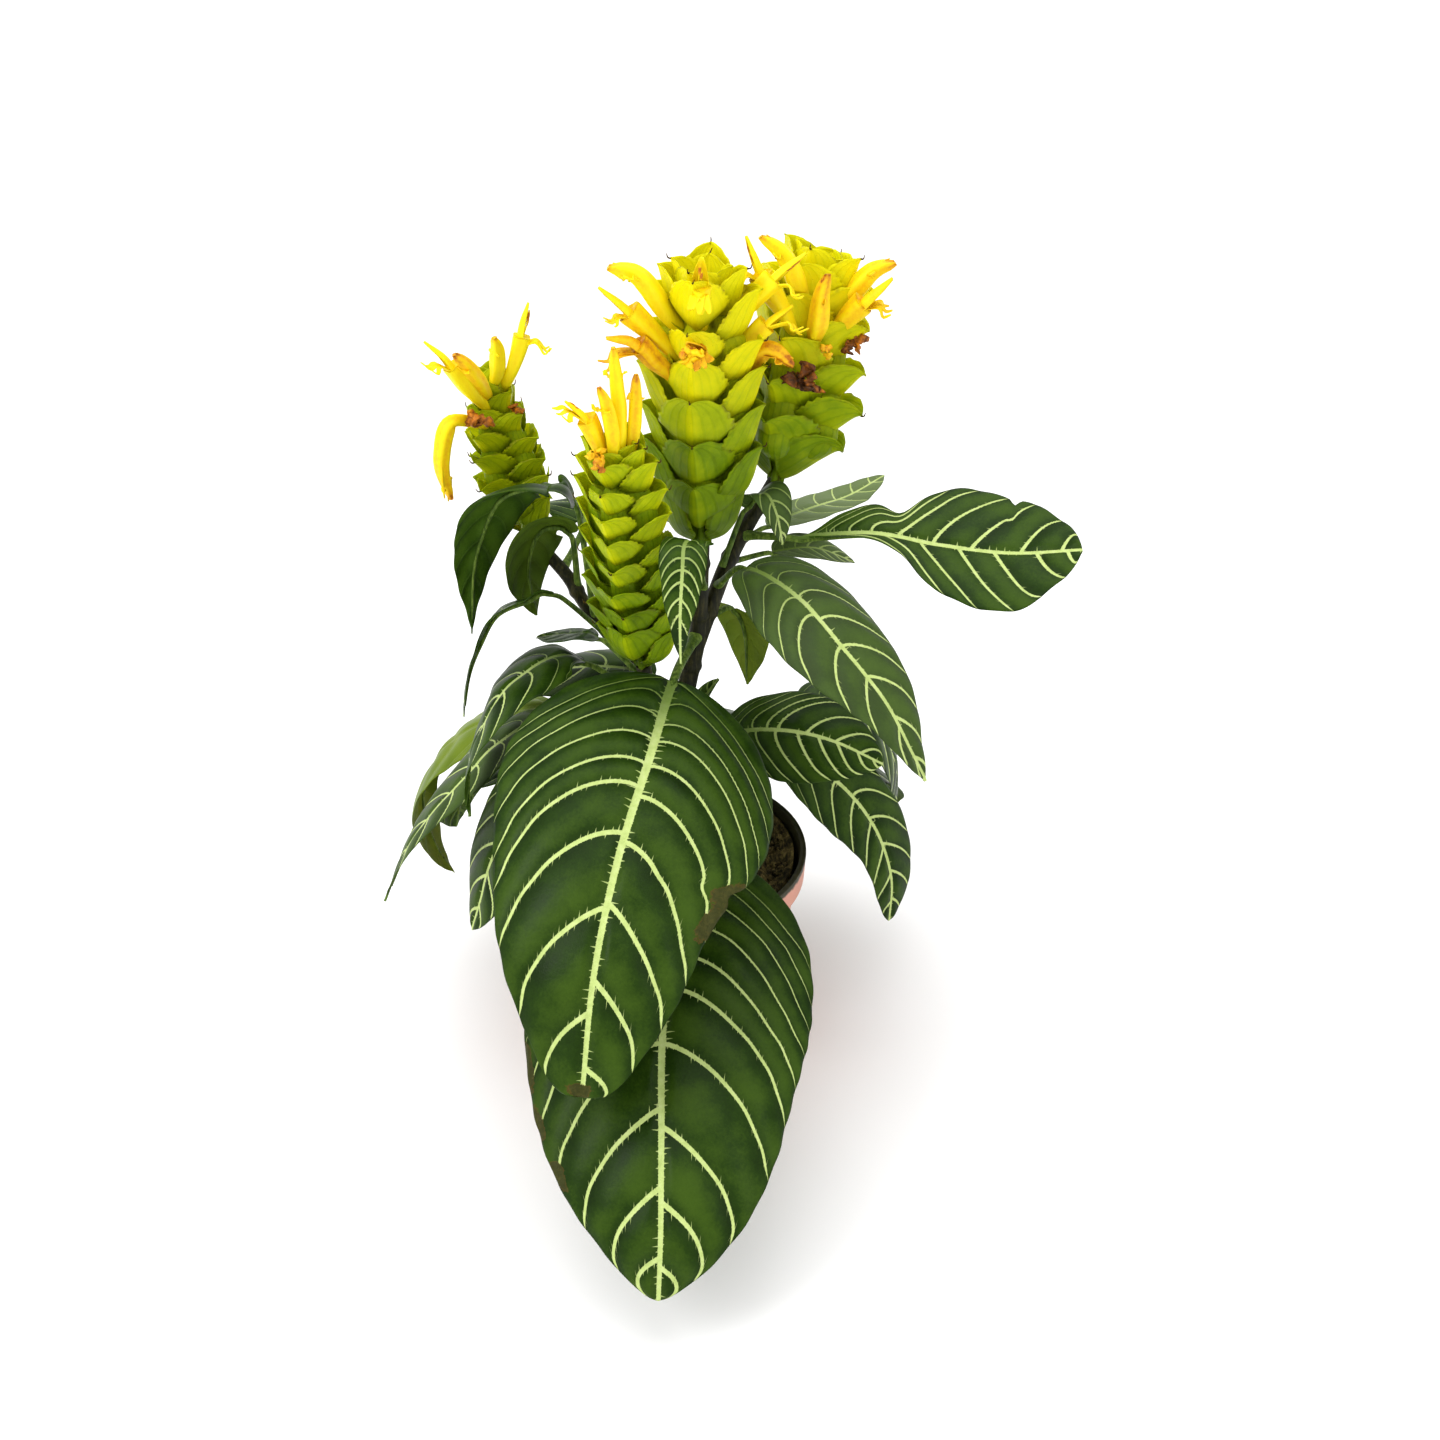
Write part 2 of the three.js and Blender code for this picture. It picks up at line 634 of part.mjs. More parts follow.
function add(name, made, finish) {
  const material = new THREE.MeshStandardMaterial({ ...FINISH[finish], metalness: 0 });
  const mesh = new THREE.Mesh(geometryOf(made), material);
  mesh.name = name;
  plant.add(mesh);
}

add("pot", potGeometry(), "pot");

const stems = STEMS.map((stem) => {
  return { stem, wide: solid(stemGeometry(stem, SEAT * 1.3)), made: solid(stemGeometry(stem)) };
});
add("potting_mix", mixGeometry().subtract(stems[0].wide), "potting_mix");
stems.forEach(({ stem, made }, i) => {
  const cut = i === 0 ? made : stems.slice(0, i).reduce((rest, other) => rest.subtract(other.wide), made);
  add(stem.name, largest(cut), "stem");
});

for (const leaf of LEAVES) {
  const cut = stems.reduce((rest, { wide }) => rest.subtract(wide), solid(leafGeometry(leaf)));
  add(leaf.name, largest(cut), "leaf");
}

const flowers = FLOWERS.map((flower) => {
  return { flower, wide: flowerSolid(flower, SEAT * 1.2), made: flowerSolid(flower) };
});
const pierced = [...stems, ...flowers].map(({ wide }) => wide);
for (const spike of SPIKES) {
  add(spike.name, largest(pierced.reduce((rest, wide) => rest.subtract(wide), spikeSolid(spike))), "bract");
}
for (const { flower, made } of flowers) add(flower.name, made, "flower");

export default plant;
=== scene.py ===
import math
import random

import bpy
import numpy as np
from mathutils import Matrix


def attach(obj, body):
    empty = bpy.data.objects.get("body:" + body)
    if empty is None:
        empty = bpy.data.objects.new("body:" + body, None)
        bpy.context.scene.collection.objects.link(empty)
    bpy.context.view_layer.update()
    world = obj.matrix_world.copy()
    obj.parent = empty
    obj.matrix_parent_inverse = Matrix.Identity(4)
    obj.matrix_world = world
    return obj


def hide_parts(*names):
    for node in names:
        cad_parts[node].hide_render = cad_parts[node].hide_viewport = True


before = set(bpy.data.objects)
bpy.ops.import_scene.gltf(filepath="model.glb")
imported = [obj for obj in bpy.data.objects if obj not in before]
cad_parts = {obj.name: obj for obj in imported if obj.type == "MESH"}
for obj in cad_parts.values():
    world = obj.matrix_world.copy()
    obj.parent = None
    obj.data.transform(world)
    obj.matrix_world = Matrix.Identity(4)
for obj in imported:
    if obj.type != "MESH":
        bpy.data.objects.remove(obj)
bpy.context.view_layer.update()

MM = 0.001
Z = np.array([0.0, 0.0, 1.0])


# ---- curves and meshes

class Route:
    """A smooth curve through points, read by the share of its length from 0 to 1."""

    STEPS = 100
    NEARBY = 0.004  # the share before and behind a place between which its direction is taken

    def __init__(self, points):
        p = np.array(points, float)
        spans = len(p) - 1
        p = np.vstack([2 * p[0] - p[1], p, 2 * p[-1] - p[-2]])
        t = np.linspace(0, spans, spans * self.STEPS + 1)
        i = np.minimum(t.astype(int), spans - 1)
        w = (t - i)[:, None]
        before, start, end, after = p[i], p[i + 1], p[i + 2], p[i + 3]
        out_of, into = (end - before) / 2, (after - start) / 2
        self.points = ((2 * start - 2 * end + out_of + into) * w ** 3
                       + (3 * end - 3 * start - 2 * out_of - into) * w ** 2 + out_of * w + start)
        steps = np.linalg.norm(np.diff(self.points, axis=0), axis=1)
        along = np.concatenate([[0], np.cumsum(steps)])
        self.length = along[-1]
        self.shares = along / self.length

    def share_of(self, point):
        """The share of the length at which the curve passes one of its given points."""
        return self.shares[point * self.STEPS]

    def at(self, share):
        share = np.asarray(share, float)
        return np.stack([np.interp(share, self.shares, self.points[:, k]) for k in range(3)], -1)

    def way(self, share):
        share = np.asarray(share, float)
        return unit(self.at(np.minimum(share + self.NEARBY, 1)) - self.at(np.maximum(share - self.NEARBY, 0)))

    def frames(self, share, level):
        """The places at the shares, with the ways along, across and up there."""
        on = self.way(share)
        across = unit(level - on * (on @ level)[:, None])
        return self.at(share), on, across, np.cross(across, on)


def unit(v):
    return v / np.maximum(np.linalg.norm(v, axis=-1, keepdims=True), 1e-9)


def turned(v, axis, angle):
    """v, which is square to axis, turned about it."""
    angle = np.asarray(angle)[..., None]
    return v * np.cos(angle) + np.cross(axis, v) * np.sin(angle)


def smooth(x, low, high):
    """A soft step from 0 where x is low to 1 where it is high."""
    x = np.clip((x - low) / (high - low), 0, 1)
    return x * x * (3 - 2 * x)


def spread(share, values):
    """The value at a share from 0 to 1 of a row of evenly spaced values."""
    return np.interp(share, np.linspace(0, 1, len(values)), values)


def wobble(seed, *axes, count=4):
    """A smooth made-up unevenness between about -1 and 1."""
    rng = random.Random(seed)
    total = 0
    for _ in range(count):
        total = total + np.sin(sum(a * rng.uniform(0.6, 1.6) * rng.choice((-1, 1)) for a in axes)
                               + rng.uniform(0, 6.3))
    return total / count * 1.4


def put(name, data):
    """A new object in the scene."""
    made = bpy.data.objects.new(name, data)
    bpy.context.scene.collection.objects.link(made)
    return made


class Shape:
    """Points and faces of one piece, with values for the material on each corner of a face."""

    def __init__(self, *fields):
        self.points, self.faces, self.looks, self.count = [], [], [], 0
        self.fields = {name: [] for name in fields}

    def add(self, points, faces, looks=(0, 0, 0), **values):
        """Adds a part. faces holds blocks of faces with equally many corners, looks their materials.

        A field's values are an array with one row for each point, or a list with one for each block.
        """
        points = np.asarray(points, float).reshape(-1, 3)
        for k, block in enumerate(faces):
            block = np.asarray(block, int)
            self.faces += (block + self.count).tolist()
            self.looks += [looks[k]] * len(block)
            for name, store in self.fields.items():
                value = values.get(name, np.zeros((len(points), 3)))
                store.append(value[k].reshape(-1, 3) if isinstance(value, list) else value[block.reshape(-1)])
        self.points.append(points)
        self.count += len(points)

    def add_sheet(self, points, normals, thick, **values):
        """Adds a closed thin sheet over a grid of points that have the values."""
        points, *faces = sheet(points, normals, thick)
        a, b, c = points[faces[0][0, :3]]
        order = slice(None) if np.cross(b - a, c - a) @ normals[0, 0] > 0 else slice(None, None, -1)
        self.add(points, [block[:, order] for block in faces],
                 **{name: np.concatenate([value, value]) for name, value in values.items()})

    def mesh(self, name):
        mesh = bpy.data.meshes.new(name)
        mesh.from_pydata((np.concatenate(self.points) * MM).tolist(), [], self.faces)
        return mesh

    def make(self, name, looks, node=None):
        """Makes the object, rides it on the plant and lets it stand for its node."""
        mesh = self.mesh(name)
        for field, store in self.fields.items():
            layer = mesh.attributes.new(field, "FLOAT_VECTOR", "CORNER")
            layer.data.foreach_set("vector", np.concatenate(store).astype(np.float32).ravel())
        for look in looks:
            mesh.materials.append(look)
        mesh.polygons.foreach_set("material_index", self.looks)
        mesh.polygons.foreach_set("use_smooth", [True] * len(self.faces))
        mesh.update()
        piece = put(name, mesh)
        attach(piece, "root")
        if node:
            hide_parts(node)
        return piece


def grid(rows, columns, closed=False):
    """Faces between rows of points that all have the same number of columns."""
    i, j = np.meshgrid(np.arange(rows - 1), np.arange(columns if closed else columns - 1), indexing="ij")
    k = (j + 1) % columns
    corners = [i * columns + j, i * columns + k, (i + 1) * columns + k, (i + 1) * columns + j]
    return np.stack(corners, -1).reshape(-1, 4)


def fan(middle, start, sides, flip=False):
    """Triangles from a middle point to the ring of points whose numbers begin with start."""
    j = np.arange(sides)
    k = (j + 1) % sides
    if flip:
        j, k = k, j
    return np.stack([np.full(sides, middle), start + j, start + k], -1)


def around(sides):
    """The angles of the points of a ring."""
    return np.linspace(0, 2 * np.pi, sides, endpoint=False)


def tube(centre, across, up, radii, sides, squash=1.0):
    """Points and faces of a closed round bar with rings about the given centres."""
    angle = around(sides)[None, :, None]
    radii = np.asarray(radii, float)
    ring = across[:, None] * np.cos(angle) + up[:, None] * np.sin(angle) * squash
    points = centre[:, None] + ring * (radii[:, None, None] if radii.ndim == 1 else radii[..., None])
    rows = len(centre)
    points = np.concatenate([points.reshape(-1, 3), centre[:1], centre[-1:]])
    n = rows * sides
    caps = np.concatenate([fan(n, 0, sides), fan(n + 1, n - sides, sides, True)])
    return points, [grid(rows, sides, True)[:, ::-1], caps[:, ::-1]]


def sheet(points, normals, thick):
    """Points and faces (top, underside, rim) of a closed thin sheet over a grid of points."""
    rows, columns = points.shape[:2]
    low = points - normals * np.asarray(thick)[..., None]
    n = rows * columns
    faces = grid(rows, columns)
    i = np.arange(rows - 1)
    j = np.arange(columns - 1)
    a, b = i * columns, i * columns + columns - 1
    left = np.stack([a, a + columns, a + columns + n, a + n], -1)
    right = np.stack([b + columns, b, b + n, b + columns + n], -1)
    near = np.stack([j + 1, j, j + n, j + 1 + n], -1)
    end = (rows - 1) * columns + j
    far = np.stack([end, end + 1, end + 1 + n, end + n], -1)
    both = np.concatenate([points.reshape(-1, 3), low.reshape(-1, 3)])
    return both, faces, faces[:, ::-1] + n, np.concatenate([left, right, near, far])


# ---- materials

class Value:
    """A number or a colour that a material works out at each place."""

    def __init__(self, look, socket):
        self.look, self.socket = look, socket


def operate(kind, swapped=False):
    """An operator of values that makes a math node of this kind."""
    def result(*values):
        return values[0].look.sum(kind, *(values[::-1] if swapped else values))

    return result


for sign, kind in (("add", "ADD"), ("sub", "SUBTRACT"), ("mul", "MULTIPLY"), ("truediv", "DIVIDE"),
                   ("pow", "POWER"), ("abs", "ABSOLUTE")):
    setattr(Value, f"__{sign}__", operate(kind))
for sign, kind in (("radd", "ADD"), ("rsub", "SUBTRACT")):
    setattr(Value, f"__{sign}__", operate(kind, True))


class Look:
    """A node material whose parts are made by short calls."""

    def __init__(self, name, roughness, specular=0.5, **sockets):
        self.material = bpy.data.materials.new(name)
        self.material.use_nodes = True
        self.tree = self.material.node_tree
        self.shader = self.tree.nodes["Principled BSDF"]
        sockets = {"Roughness": roughness, "Specular IOR Level": specular, **sockets}
        for socket, value in sockets.items():
            self.shader.inputs[socket.replace("_", " ")].default_value = value

    def node(self, kind, inputs, **settings):
        """The outputs of a new node."""
        node = self.tree.nodes.new(kind)
        for key, value in settings.items():
            setattr(node, key, value)
        for socket, value in inputs.items():
            if isinstance(value, Value):
                self.tree.links.new(value.socket, node.inputs[socket])
            else:
                node.inputs[socket].default_value = value
        return {key: Value(self, socket) for k, socket in enumerate(node.outputs) for key in (k, socket.name)}

    def field(self, name):
        """The three numbers of an attribute of the mesh."""
        return self.parts(self.node("ShaderNodeAttribute", {}, attribute_name=name)["Vector"])

    def parts(self, vector):
        found = self.node("ShaderNodeSeparateXYZ", {0: vector})
        return found[0], found[1], found[2]

    def place(self, stretch=(1, 1, 1)):
        """The place on the piece in millimetres."""
        found = self.node("ShaderNodeTexCoord", {})["Object"]
        scale = [s / MM for s in stretch]
        return self.node("ShaderNodeVectorMath", {0: found, 1: scale}, operation="MULTIPLY")[0]

    def sum(self, kind, *values):
        return self.node("ShaderNodeMath", dict(enumerate(values)), operation=kind)[0]

    def step(self, value, low, high, start=0.0, end=1.0):
        """A soft step: start where value is low, end where it is high."""
        inputs = dict(enumerate((value, low, high, start, end)))
        return self.node("ShaderNodeMapRange", inputs, interpolation_type="SMOOTHSTEP")[0]

    def noise(self, where, size, detail=2.0, rough=0.5, line=False):
        """Noise between 0 and 1 with features of a size in millimetres, on a line if asked."""
        inputs = {"W" if line else "Vector": where, "Scale": 1 / size, "Detail": detail, "Roughness": rough}
        return self.node("ShaderNodeTexNoise", inputs, noise_dimensions="1D" if line else "3D")[0]

    def mix(self, share, a, b):
        """The colour a where the share is 0 and b where it is 1."""
        return self.node("ShaderNodeMix", {0: share, 6: a, 7: b}, data_type="RGBA")[2]

    def shade(self, share, *colours):
        """A colour between the given ones, which are spread evenly over the share."""
        ramp = self.node("ShaderNodeValToRGB", {0: share})[0]
        stops = ramp.socket.node.color_ramp.elements
        while len(stops) < len(colours):
            stops.new(0.5)
        for k, colour in enumerate(colours):
            stops[k].position = k / (len(colours) - 1)
            stops[k].color = colour
        return ramp

    def finish(self, colour, height=None, depth=0.3, roughness=None):
        """Sets the colour, and the bump from a height whose full range stands depth mm proud."""
        joined = {"Base Color": colour, "Roughness": roughness}
        if height:
            joined["Normal"] = self.node("ShaderNodeBump", {"Height": height, "Distance": depth * MM,
                                                            "Strength": 1.0})[0]
        for socket, value in joined.items():
            if value:
                self.tree.links.new(value.socket, self.shader.inputs[socket])
        return self.material


def rgb(*channels):
    """A display colour, given from 0 to 255, as the shader takes it."""
    shares = [c / 255 for c in channels]
    return tuple(((c + 0.055) / 1.055) ** 2.4 if c > 10 / 255 else c / 12.92 for c in shares) + (1.0,)


def leaf_look(name, under):
    """Leaf tissue with pale veins, where the leaf's own vein numbers say."""
    look = Look(name, 0.6 if under else 0.38, 0.08)
    number, lane, spacing = look.field("veins")
    side_half, rib_half, along = look.field("width")
    hurt, seed, out = look.field("wear")
    painted_sheen, plain, painted_backlight = look.field("painted_sheen")
    place = look.place()

    nearest = look.sum("ROUND", number)
    off = number - nearest
    distance = abs(off) * spacing
    # Each side of each vein of each leaf gets its own stretch of the noise that frays it.
    own = nearest * 37.3 + look.sum("SIGN", off) * 9.1
    own = own + seed * 211.0
    side_vein = vein_share(look, lane + own, distance, side_half)
    rib = vein_share(look, along + seed * 97.0, out, rib_half)
    vein = look.sum("MAXIMUM", side_vein, rib)

    # The tissue gets painted shade just beyond a vein, where the quilted tissue dips, and a painted highlight
    # midway between two of them.
    after = look.sum("FRACT", number)
    fold = look.step(after, 0.0, 0.34, 1.0, 0.0)
    crown_highlight = look.step(after, 0.2, 0.6) * look.step(after, 0.7, 1.0, 1.0, 0.0)
    mottle = look.noise(place, 16.0, 3.0, 0.5)
    grain = look.noise(place, 1.2, 2.0, 0.6)
    tone = look.step(mottle * 0.7 + grain * 0.2 + crown_highlight * 0.14 - fold * 0.11, 0.1, 0.8)
    if under:
        tissue = look.shade(tone, rgb(26, 46, 4), rgb(44, 70, 8), rgb(66, 94, 20))
        pale = rgb(112, 140, 66)
    else:
        tissue = look.shade(tone, rgb(16, 33, 4), rgb(31, 53, 7), rgb(54, 78, 16))
        worn = look.noise(place, 3.0, 3.0, 0.6)
        pale = look.shade(worn, rgb(150, 168, 92), rgb(186, 204, 124), rgb(208, 219, 156))
        pale = look.mix(look.step(along, 6.0, 44.0, 0.85, 0.0), pale, rgb(82, 108, 34))
    # Painted sheen: tint makes the tissue paler and greyer, as on leaves that catch the light.
    tissue = look.mix(painted_sheen, tissue, rgb(120, 138, 88))
    # Painted light: olive yellows and lightens the tissue, standing in for light shining through the leaf.
    backlight_colour = look.shade(mottle, rgb(70, 94, 12), rgb(104, 124, 30), rgb(126, 140, 50))
    tissue = look.mix(painted_backlight, tissue, backlight_colour)
    colour = look.mix(vein * ((1.0 - plain) * (0.5 if under else 0.95)), tissue, pale)
    rot = hurt + look.noise(place, 3.5, 4.0, 0.75) * 0.7
    brown = look.shade(look.noise(place, 2.5, 4.0, 0.7), rgb(32, 32, 10), rgb(56, 58, 24), rgb(84, 78, 36))
    brown = look.mix(look.step(rot, 0.79, 0.86, 0.55, 0.0), brown, rgb(104, 66, 28))
    colour = look.mix(look.step(rot, 0.76, 0.84), colour, brown)
    height = grain * 0.35 + vein * 0.5
    rough = look.step(mottle, 0.25, 0.75, 0.55 if under else 0.34, 0.7 if under else 0.46)
    return look.finish(colour, height, 0.25, rough)


SPUR_DENSITY = 0.3  # places for a spur in each millimetre of a vein


def vein_share(look, lane, distance, half):
    """How much of a place belongs to a vein: its body, and thin spurs that stand off it."""
    ragged = look.noise(lane, 1.1, 3.0, 0.6, line=True)
    beyond = distance - half * (0.75 + ragged * 0.5)
    body = look.step(beyond, -0.15, 0.15, 1.0, 0.0)
    cells = look.node("ShaderNodeTexVoronoi", {"W": lane, "Scale": SPUR_DENSITY, "Randomness": 1.0},
                      voronoi_dimensions="1D")
    luck = look.node("ShaderNodeSeparateColor", {0: cells["Color"]})[0]
    reach = luck ** 2.0 * (half * 2.8)
    left = 1.0 - beyond / (reach + 0.05)
    room = look.sum("MAXIMUM", left, 0.0) * (0.12 + half * 0.2)
    spur = look.step(room - cells["Distance"] / SPUR_DENSITY, -0.08, 0.12) * look.step(left, 0.0, 0.2)
    return look.sum("MAXIMUM", body, spur * 0.75)


def stalk_look(name, low, middle, high, size):
    look = Look(name, 0.5, 0.15)
    fibre = look.noise(look.place((1, 1, 0.12)), size, 4.0, 0.65)
    spot = look.noise(look.place(), size * 4)
    tone = look.step(fibre * 0.6 + spot * 0.4, 0.3, 0.7)
    return look.finish(look.shade(tone, low, middle, high), fibre)


def bract_look():
    """Bracts: green where young in tone, yellow where ripe, with nerves along them and dark edges."""
    look = Look("bract_tissue", 0.5, 0.07, Subsurface_Weight=0.35, Subsurface_Scale=0.003,
                Subsurface_Radius=(1.0, 0.9, 0.15))
    tone, edge, along = look.field("bract")
    place = look.place()
    mottle = look.noise(place, 7.0, 3.0, 0.6)
    fine = look.noise(place, 1.2, 3.0, 0.6)
    nerve = look.step(look.sum("SINE", edge * 26.0), 0.3, 1.0)
    ripe = tone + (mottle - 0.5) * 0.35 - nerve * 0.05
    colour = look.shade(ripe, rgb(50, 74, 2), rgb(108, 134, 4), rgb(160, 174, 6), rgb(206, 204, 6),
                        rgb(238, 222, 8))
    rim = look.step(abs(edge), 0.86, 1.0, 0.0, 0.65) * look.step(look.noise(place, 4.0), 0.4, 0.7)
    colour = look.mix(rim, colour, rgb(70, 52, 20))
    colour = look.mix(look.step(fine, 0.68, 0.74, 0.0, 0.35), colour, rgb(74, 84, 10))
    # Painted shade: each bract darkens towards its foot, which lies under the bracts above it.
    colour = look.mix(look.step(along, 0.1, 0.55, 0.5, 0.0), colour, rgb(66, 88, 6))
    colour = look.mix(look.step(tone, 1.3, 1.6), colour, rgb(52, 38, 16))
    return look.finish(colour, nerve * 0.5 + fine * 0.5, 0.22)


def petal_look():
    """Flowers: yellow when fresh, orange and brown as they wither."""
    look = Look("petal", 0.5, 0.2)
    age = look.field("petal")[0]
    mottle = look.noise(look.place(), 2.6, 4.0, 0.65)
    streak = look.noise(look.place((1, 1, 0.25)), 0.8, 2.0, 0.6)
    patchy = 0.15 + age * 0.8
    colour = look.shade(age + (mottle - 0.5) * patchy, rgb(250, 232, 14), rgb(248, 220, 10),
                        rgb(238, 186, 14), rgb(190, 112, 22), rgb(104, 58, 20), rgb(54, 32, 14))
    return look.finish(colour, streak, 0.2)


WALL_SLOPE = 0.155  # how much wider the pot's wall gets for each millimetre up


def pot_look():
    """Pink plastic, darker at the lip and on the inside of the wall."""
    look = Look("pot_plastic", 0.55, 0.25)
    place = look.place()
    cloud = look.noise(place, 30.0, 3.0, 0.5)
    fleck = look.step(look.noise(place, 0.7, 2.0, 0.7), 0.62, 0.72)
    pink = look.step(cloud, 0.3, 0.7)
    colour = look.shade(pink, rgb(196, 134, 114), rgb(206, 146, 126), rgb(214, 158, 138))
    colour = look.mix(fleck * 0.25, colour, rgb(214, 172, 154))
    across, deep, tall = look.parts(place)
    away = look.sum("SQRT", across ** 2.0 + deep ** 2.0)
    rim_blotches = look.noise(place, 6.0, 4.0, 0.7)
    lip = look.step(tall + rim_blotches * 6.0, 103.5, 105.5)
    from_wall = away - tall * WALL_SLOPE
    inside = look.step(from_wall, 41.6, 41.9, 1.0, 0.0) * look.step(tall, 4.0, 6.0)
    dark_rim_colour = look.shade(rim_blotches, rgb(24, 24, 12), rgb(46, 44, 24), rgb(84, 78, 46))
    colour = look.mix(look.sum("MAXIMUM", lip, inside), colour, dark_rim_colour)
    height = look.noise(place, 0.5, 3.0, 0.6)
    return look.finish(colour, height, 0.08, look.step(cloud, 0.3, 0.7, 0.5, 0.62))


def mix_look():
    look = Look("peat", 0.95, 0.15)
    clump = look.noise(look.place(), 5.0, 5.0, 0.7)
    fibre = look.noise(look.place((1, 0.2, 1)), 1.0, 4.0, 0.7)
    tone = look.step(clump * 0.6 + fibre * 0.4, 0.35, 0.65)
    colour = look.shade(tone, rgb(20, 17, 8), rgb(46, 40, 20), rgb(86, 74, 40), rgb(122, 108, 64))
    return look.finish(colour, fibre, 0.8)


UPPER = leaf_look("leaf_upper", False)
UNDER = leaf_look("leaf_under", True)
PETIOLE = stalk_look("petiole", rgb(40, 62, 14), rgb(78, 102, 30), rgb(120, 142, 58), 1.2)
BARK = stalk_look("stem_bark", rgb(14, 16, 5), rgb(34, 35, 14), rgb(66, 62, 30), 1.4)
BRACT = bract_look()
PETAL = petal_look()
POT_PLASTIC = pot_look()
PEAT = mix_look()

# ---- pot and potting mix

POT_SIDES = 160
# Radius and height from the middle of the foot round the outside, over the rim and down the inside.
POT_PROFILE = [
    (0.01, 0), (36, 0), (40.6, 0), (41.6, 0.3), (42.1, 1.2), (43.6, 10), (47, 32), (50.6, 55), (54.1, 78),
    (55.9, 89.6), (56.3, 90.4), (58.6, 90.8), (59.2, 91.4), (59.5, 96), (59.8, 102), (60, 103.6),
    (59.8, 104.6), (59, 105), (58, 105), (57.2, 104.6), (56.9, 103.6), (56.4, 100), (55.6, 91),
    (54.2, 88.6), (52.3, 78), (48.8, 55), (45.2, 32), (41.8, 10), (40.6, 3), (39.4, 1.9), (30, 1.8),
    (0.01, 1.8),
]
HOLES = 6
HOLE_RADIUS = 4
HOLE_CIRCLE = 26
DRAIN_SIDES = 32
SHARP_EDGE = math.radians(35)  # the least angle between faces at which an edge of the pot looks sharp


def lathe(profile, sides):
    """Points and faces of a form that is round about +Z, from its radii and heights."""
    angle = around(sides)
    profile = np.array(profile, float)
    ring = np.stack([np.cos(angle), np.sin(angle), np.zeros(sides)], -1)
    points = profile[:, None, :1] * ring[None] + profile[:, None, 1:] * Z
    n = len(profile) * sides
    points = np.concatenate([points.reshape(-1, 3), [[0, 0, profile[0, 1]], [0, 0, profile[-1, 1]]]])
    caps = np.concatenate([fan(n, 0, sides, True), fan(n + 1, n - sides, sides)])
    return points, [grid(len(profile), sides, True), caps]


def make_pot():
    shape = Shape()
    shape.add(*lathe(POT_PROFILE, POT_SIDES))
    pot = shape.make("nursery_pot", [POT_PLASTIC], "pot")
    drills = Shape()
    points, faces = lathe([(0.01, -3), (HOLE_RADIUS, -3), (HOLE_RADIUS, 5), (0.01, 5)], DRAIN_SIDES)
    for k in range(HOLES):
        a = k / HOLES * 2 * math.pi
        drills.add(points + [HOLE_CIRCLE * math.cos(a), HOLE_CIRCLE * math.sin(a), 0], faces)
    tool = put("drainage", drills.mesh("drainage"))
    cut = pot.modifiers.new("holes", "BOOLEAN")
    cut.object = tool
    cut.operation = "DIFFERENCE"
    cut.solver = "EXACT"
    made = bpy.data.meshes.new_from_object(pot.evaluated_get(bpy.context.evaluated_depsgraph_get()))
    pot.modifiers.clear()
    pot.data = made
    bpy.data.objects.remove(tool)
    made.polygons.foreach_set("use_smooth", [True] * len(made.polygons))
    made.set_sharp_from_angle(angle=SHARP_EDGE)


MIX_HEIGHT = 96
MIX_RADIUS = 54.2
MIX_RINGS, MIX_SIDES = 60, 150
# Radius and height down the mix's side, just inside the pot's wall, and in along the pot's floor.
MIX_WALL = [(53.6, 88), (50.3, 66), (45.5, 36), (41.2, 8), (39, 2.3), (20, 2.2), (0.02, 2.2)]
CRUMBS = 520
CRUMB_SPREAD = 52  # how far from the middle the crumbs lie
CRUMB_LIMIT = 53.5  # how far one may reach, so that it stays off the pot's wall
CRUMB_RINGS, CRUMB_SIDES = 5, 6


def mix_top(radius, edge):
    """The height of the mix, which rises a little to the stem and is banked up at the wall."""
    return MIX_HEIGHT + 1.5 * (1 - (radius / edge) ** 2) + 6 * smooth(radius, 46, 54)


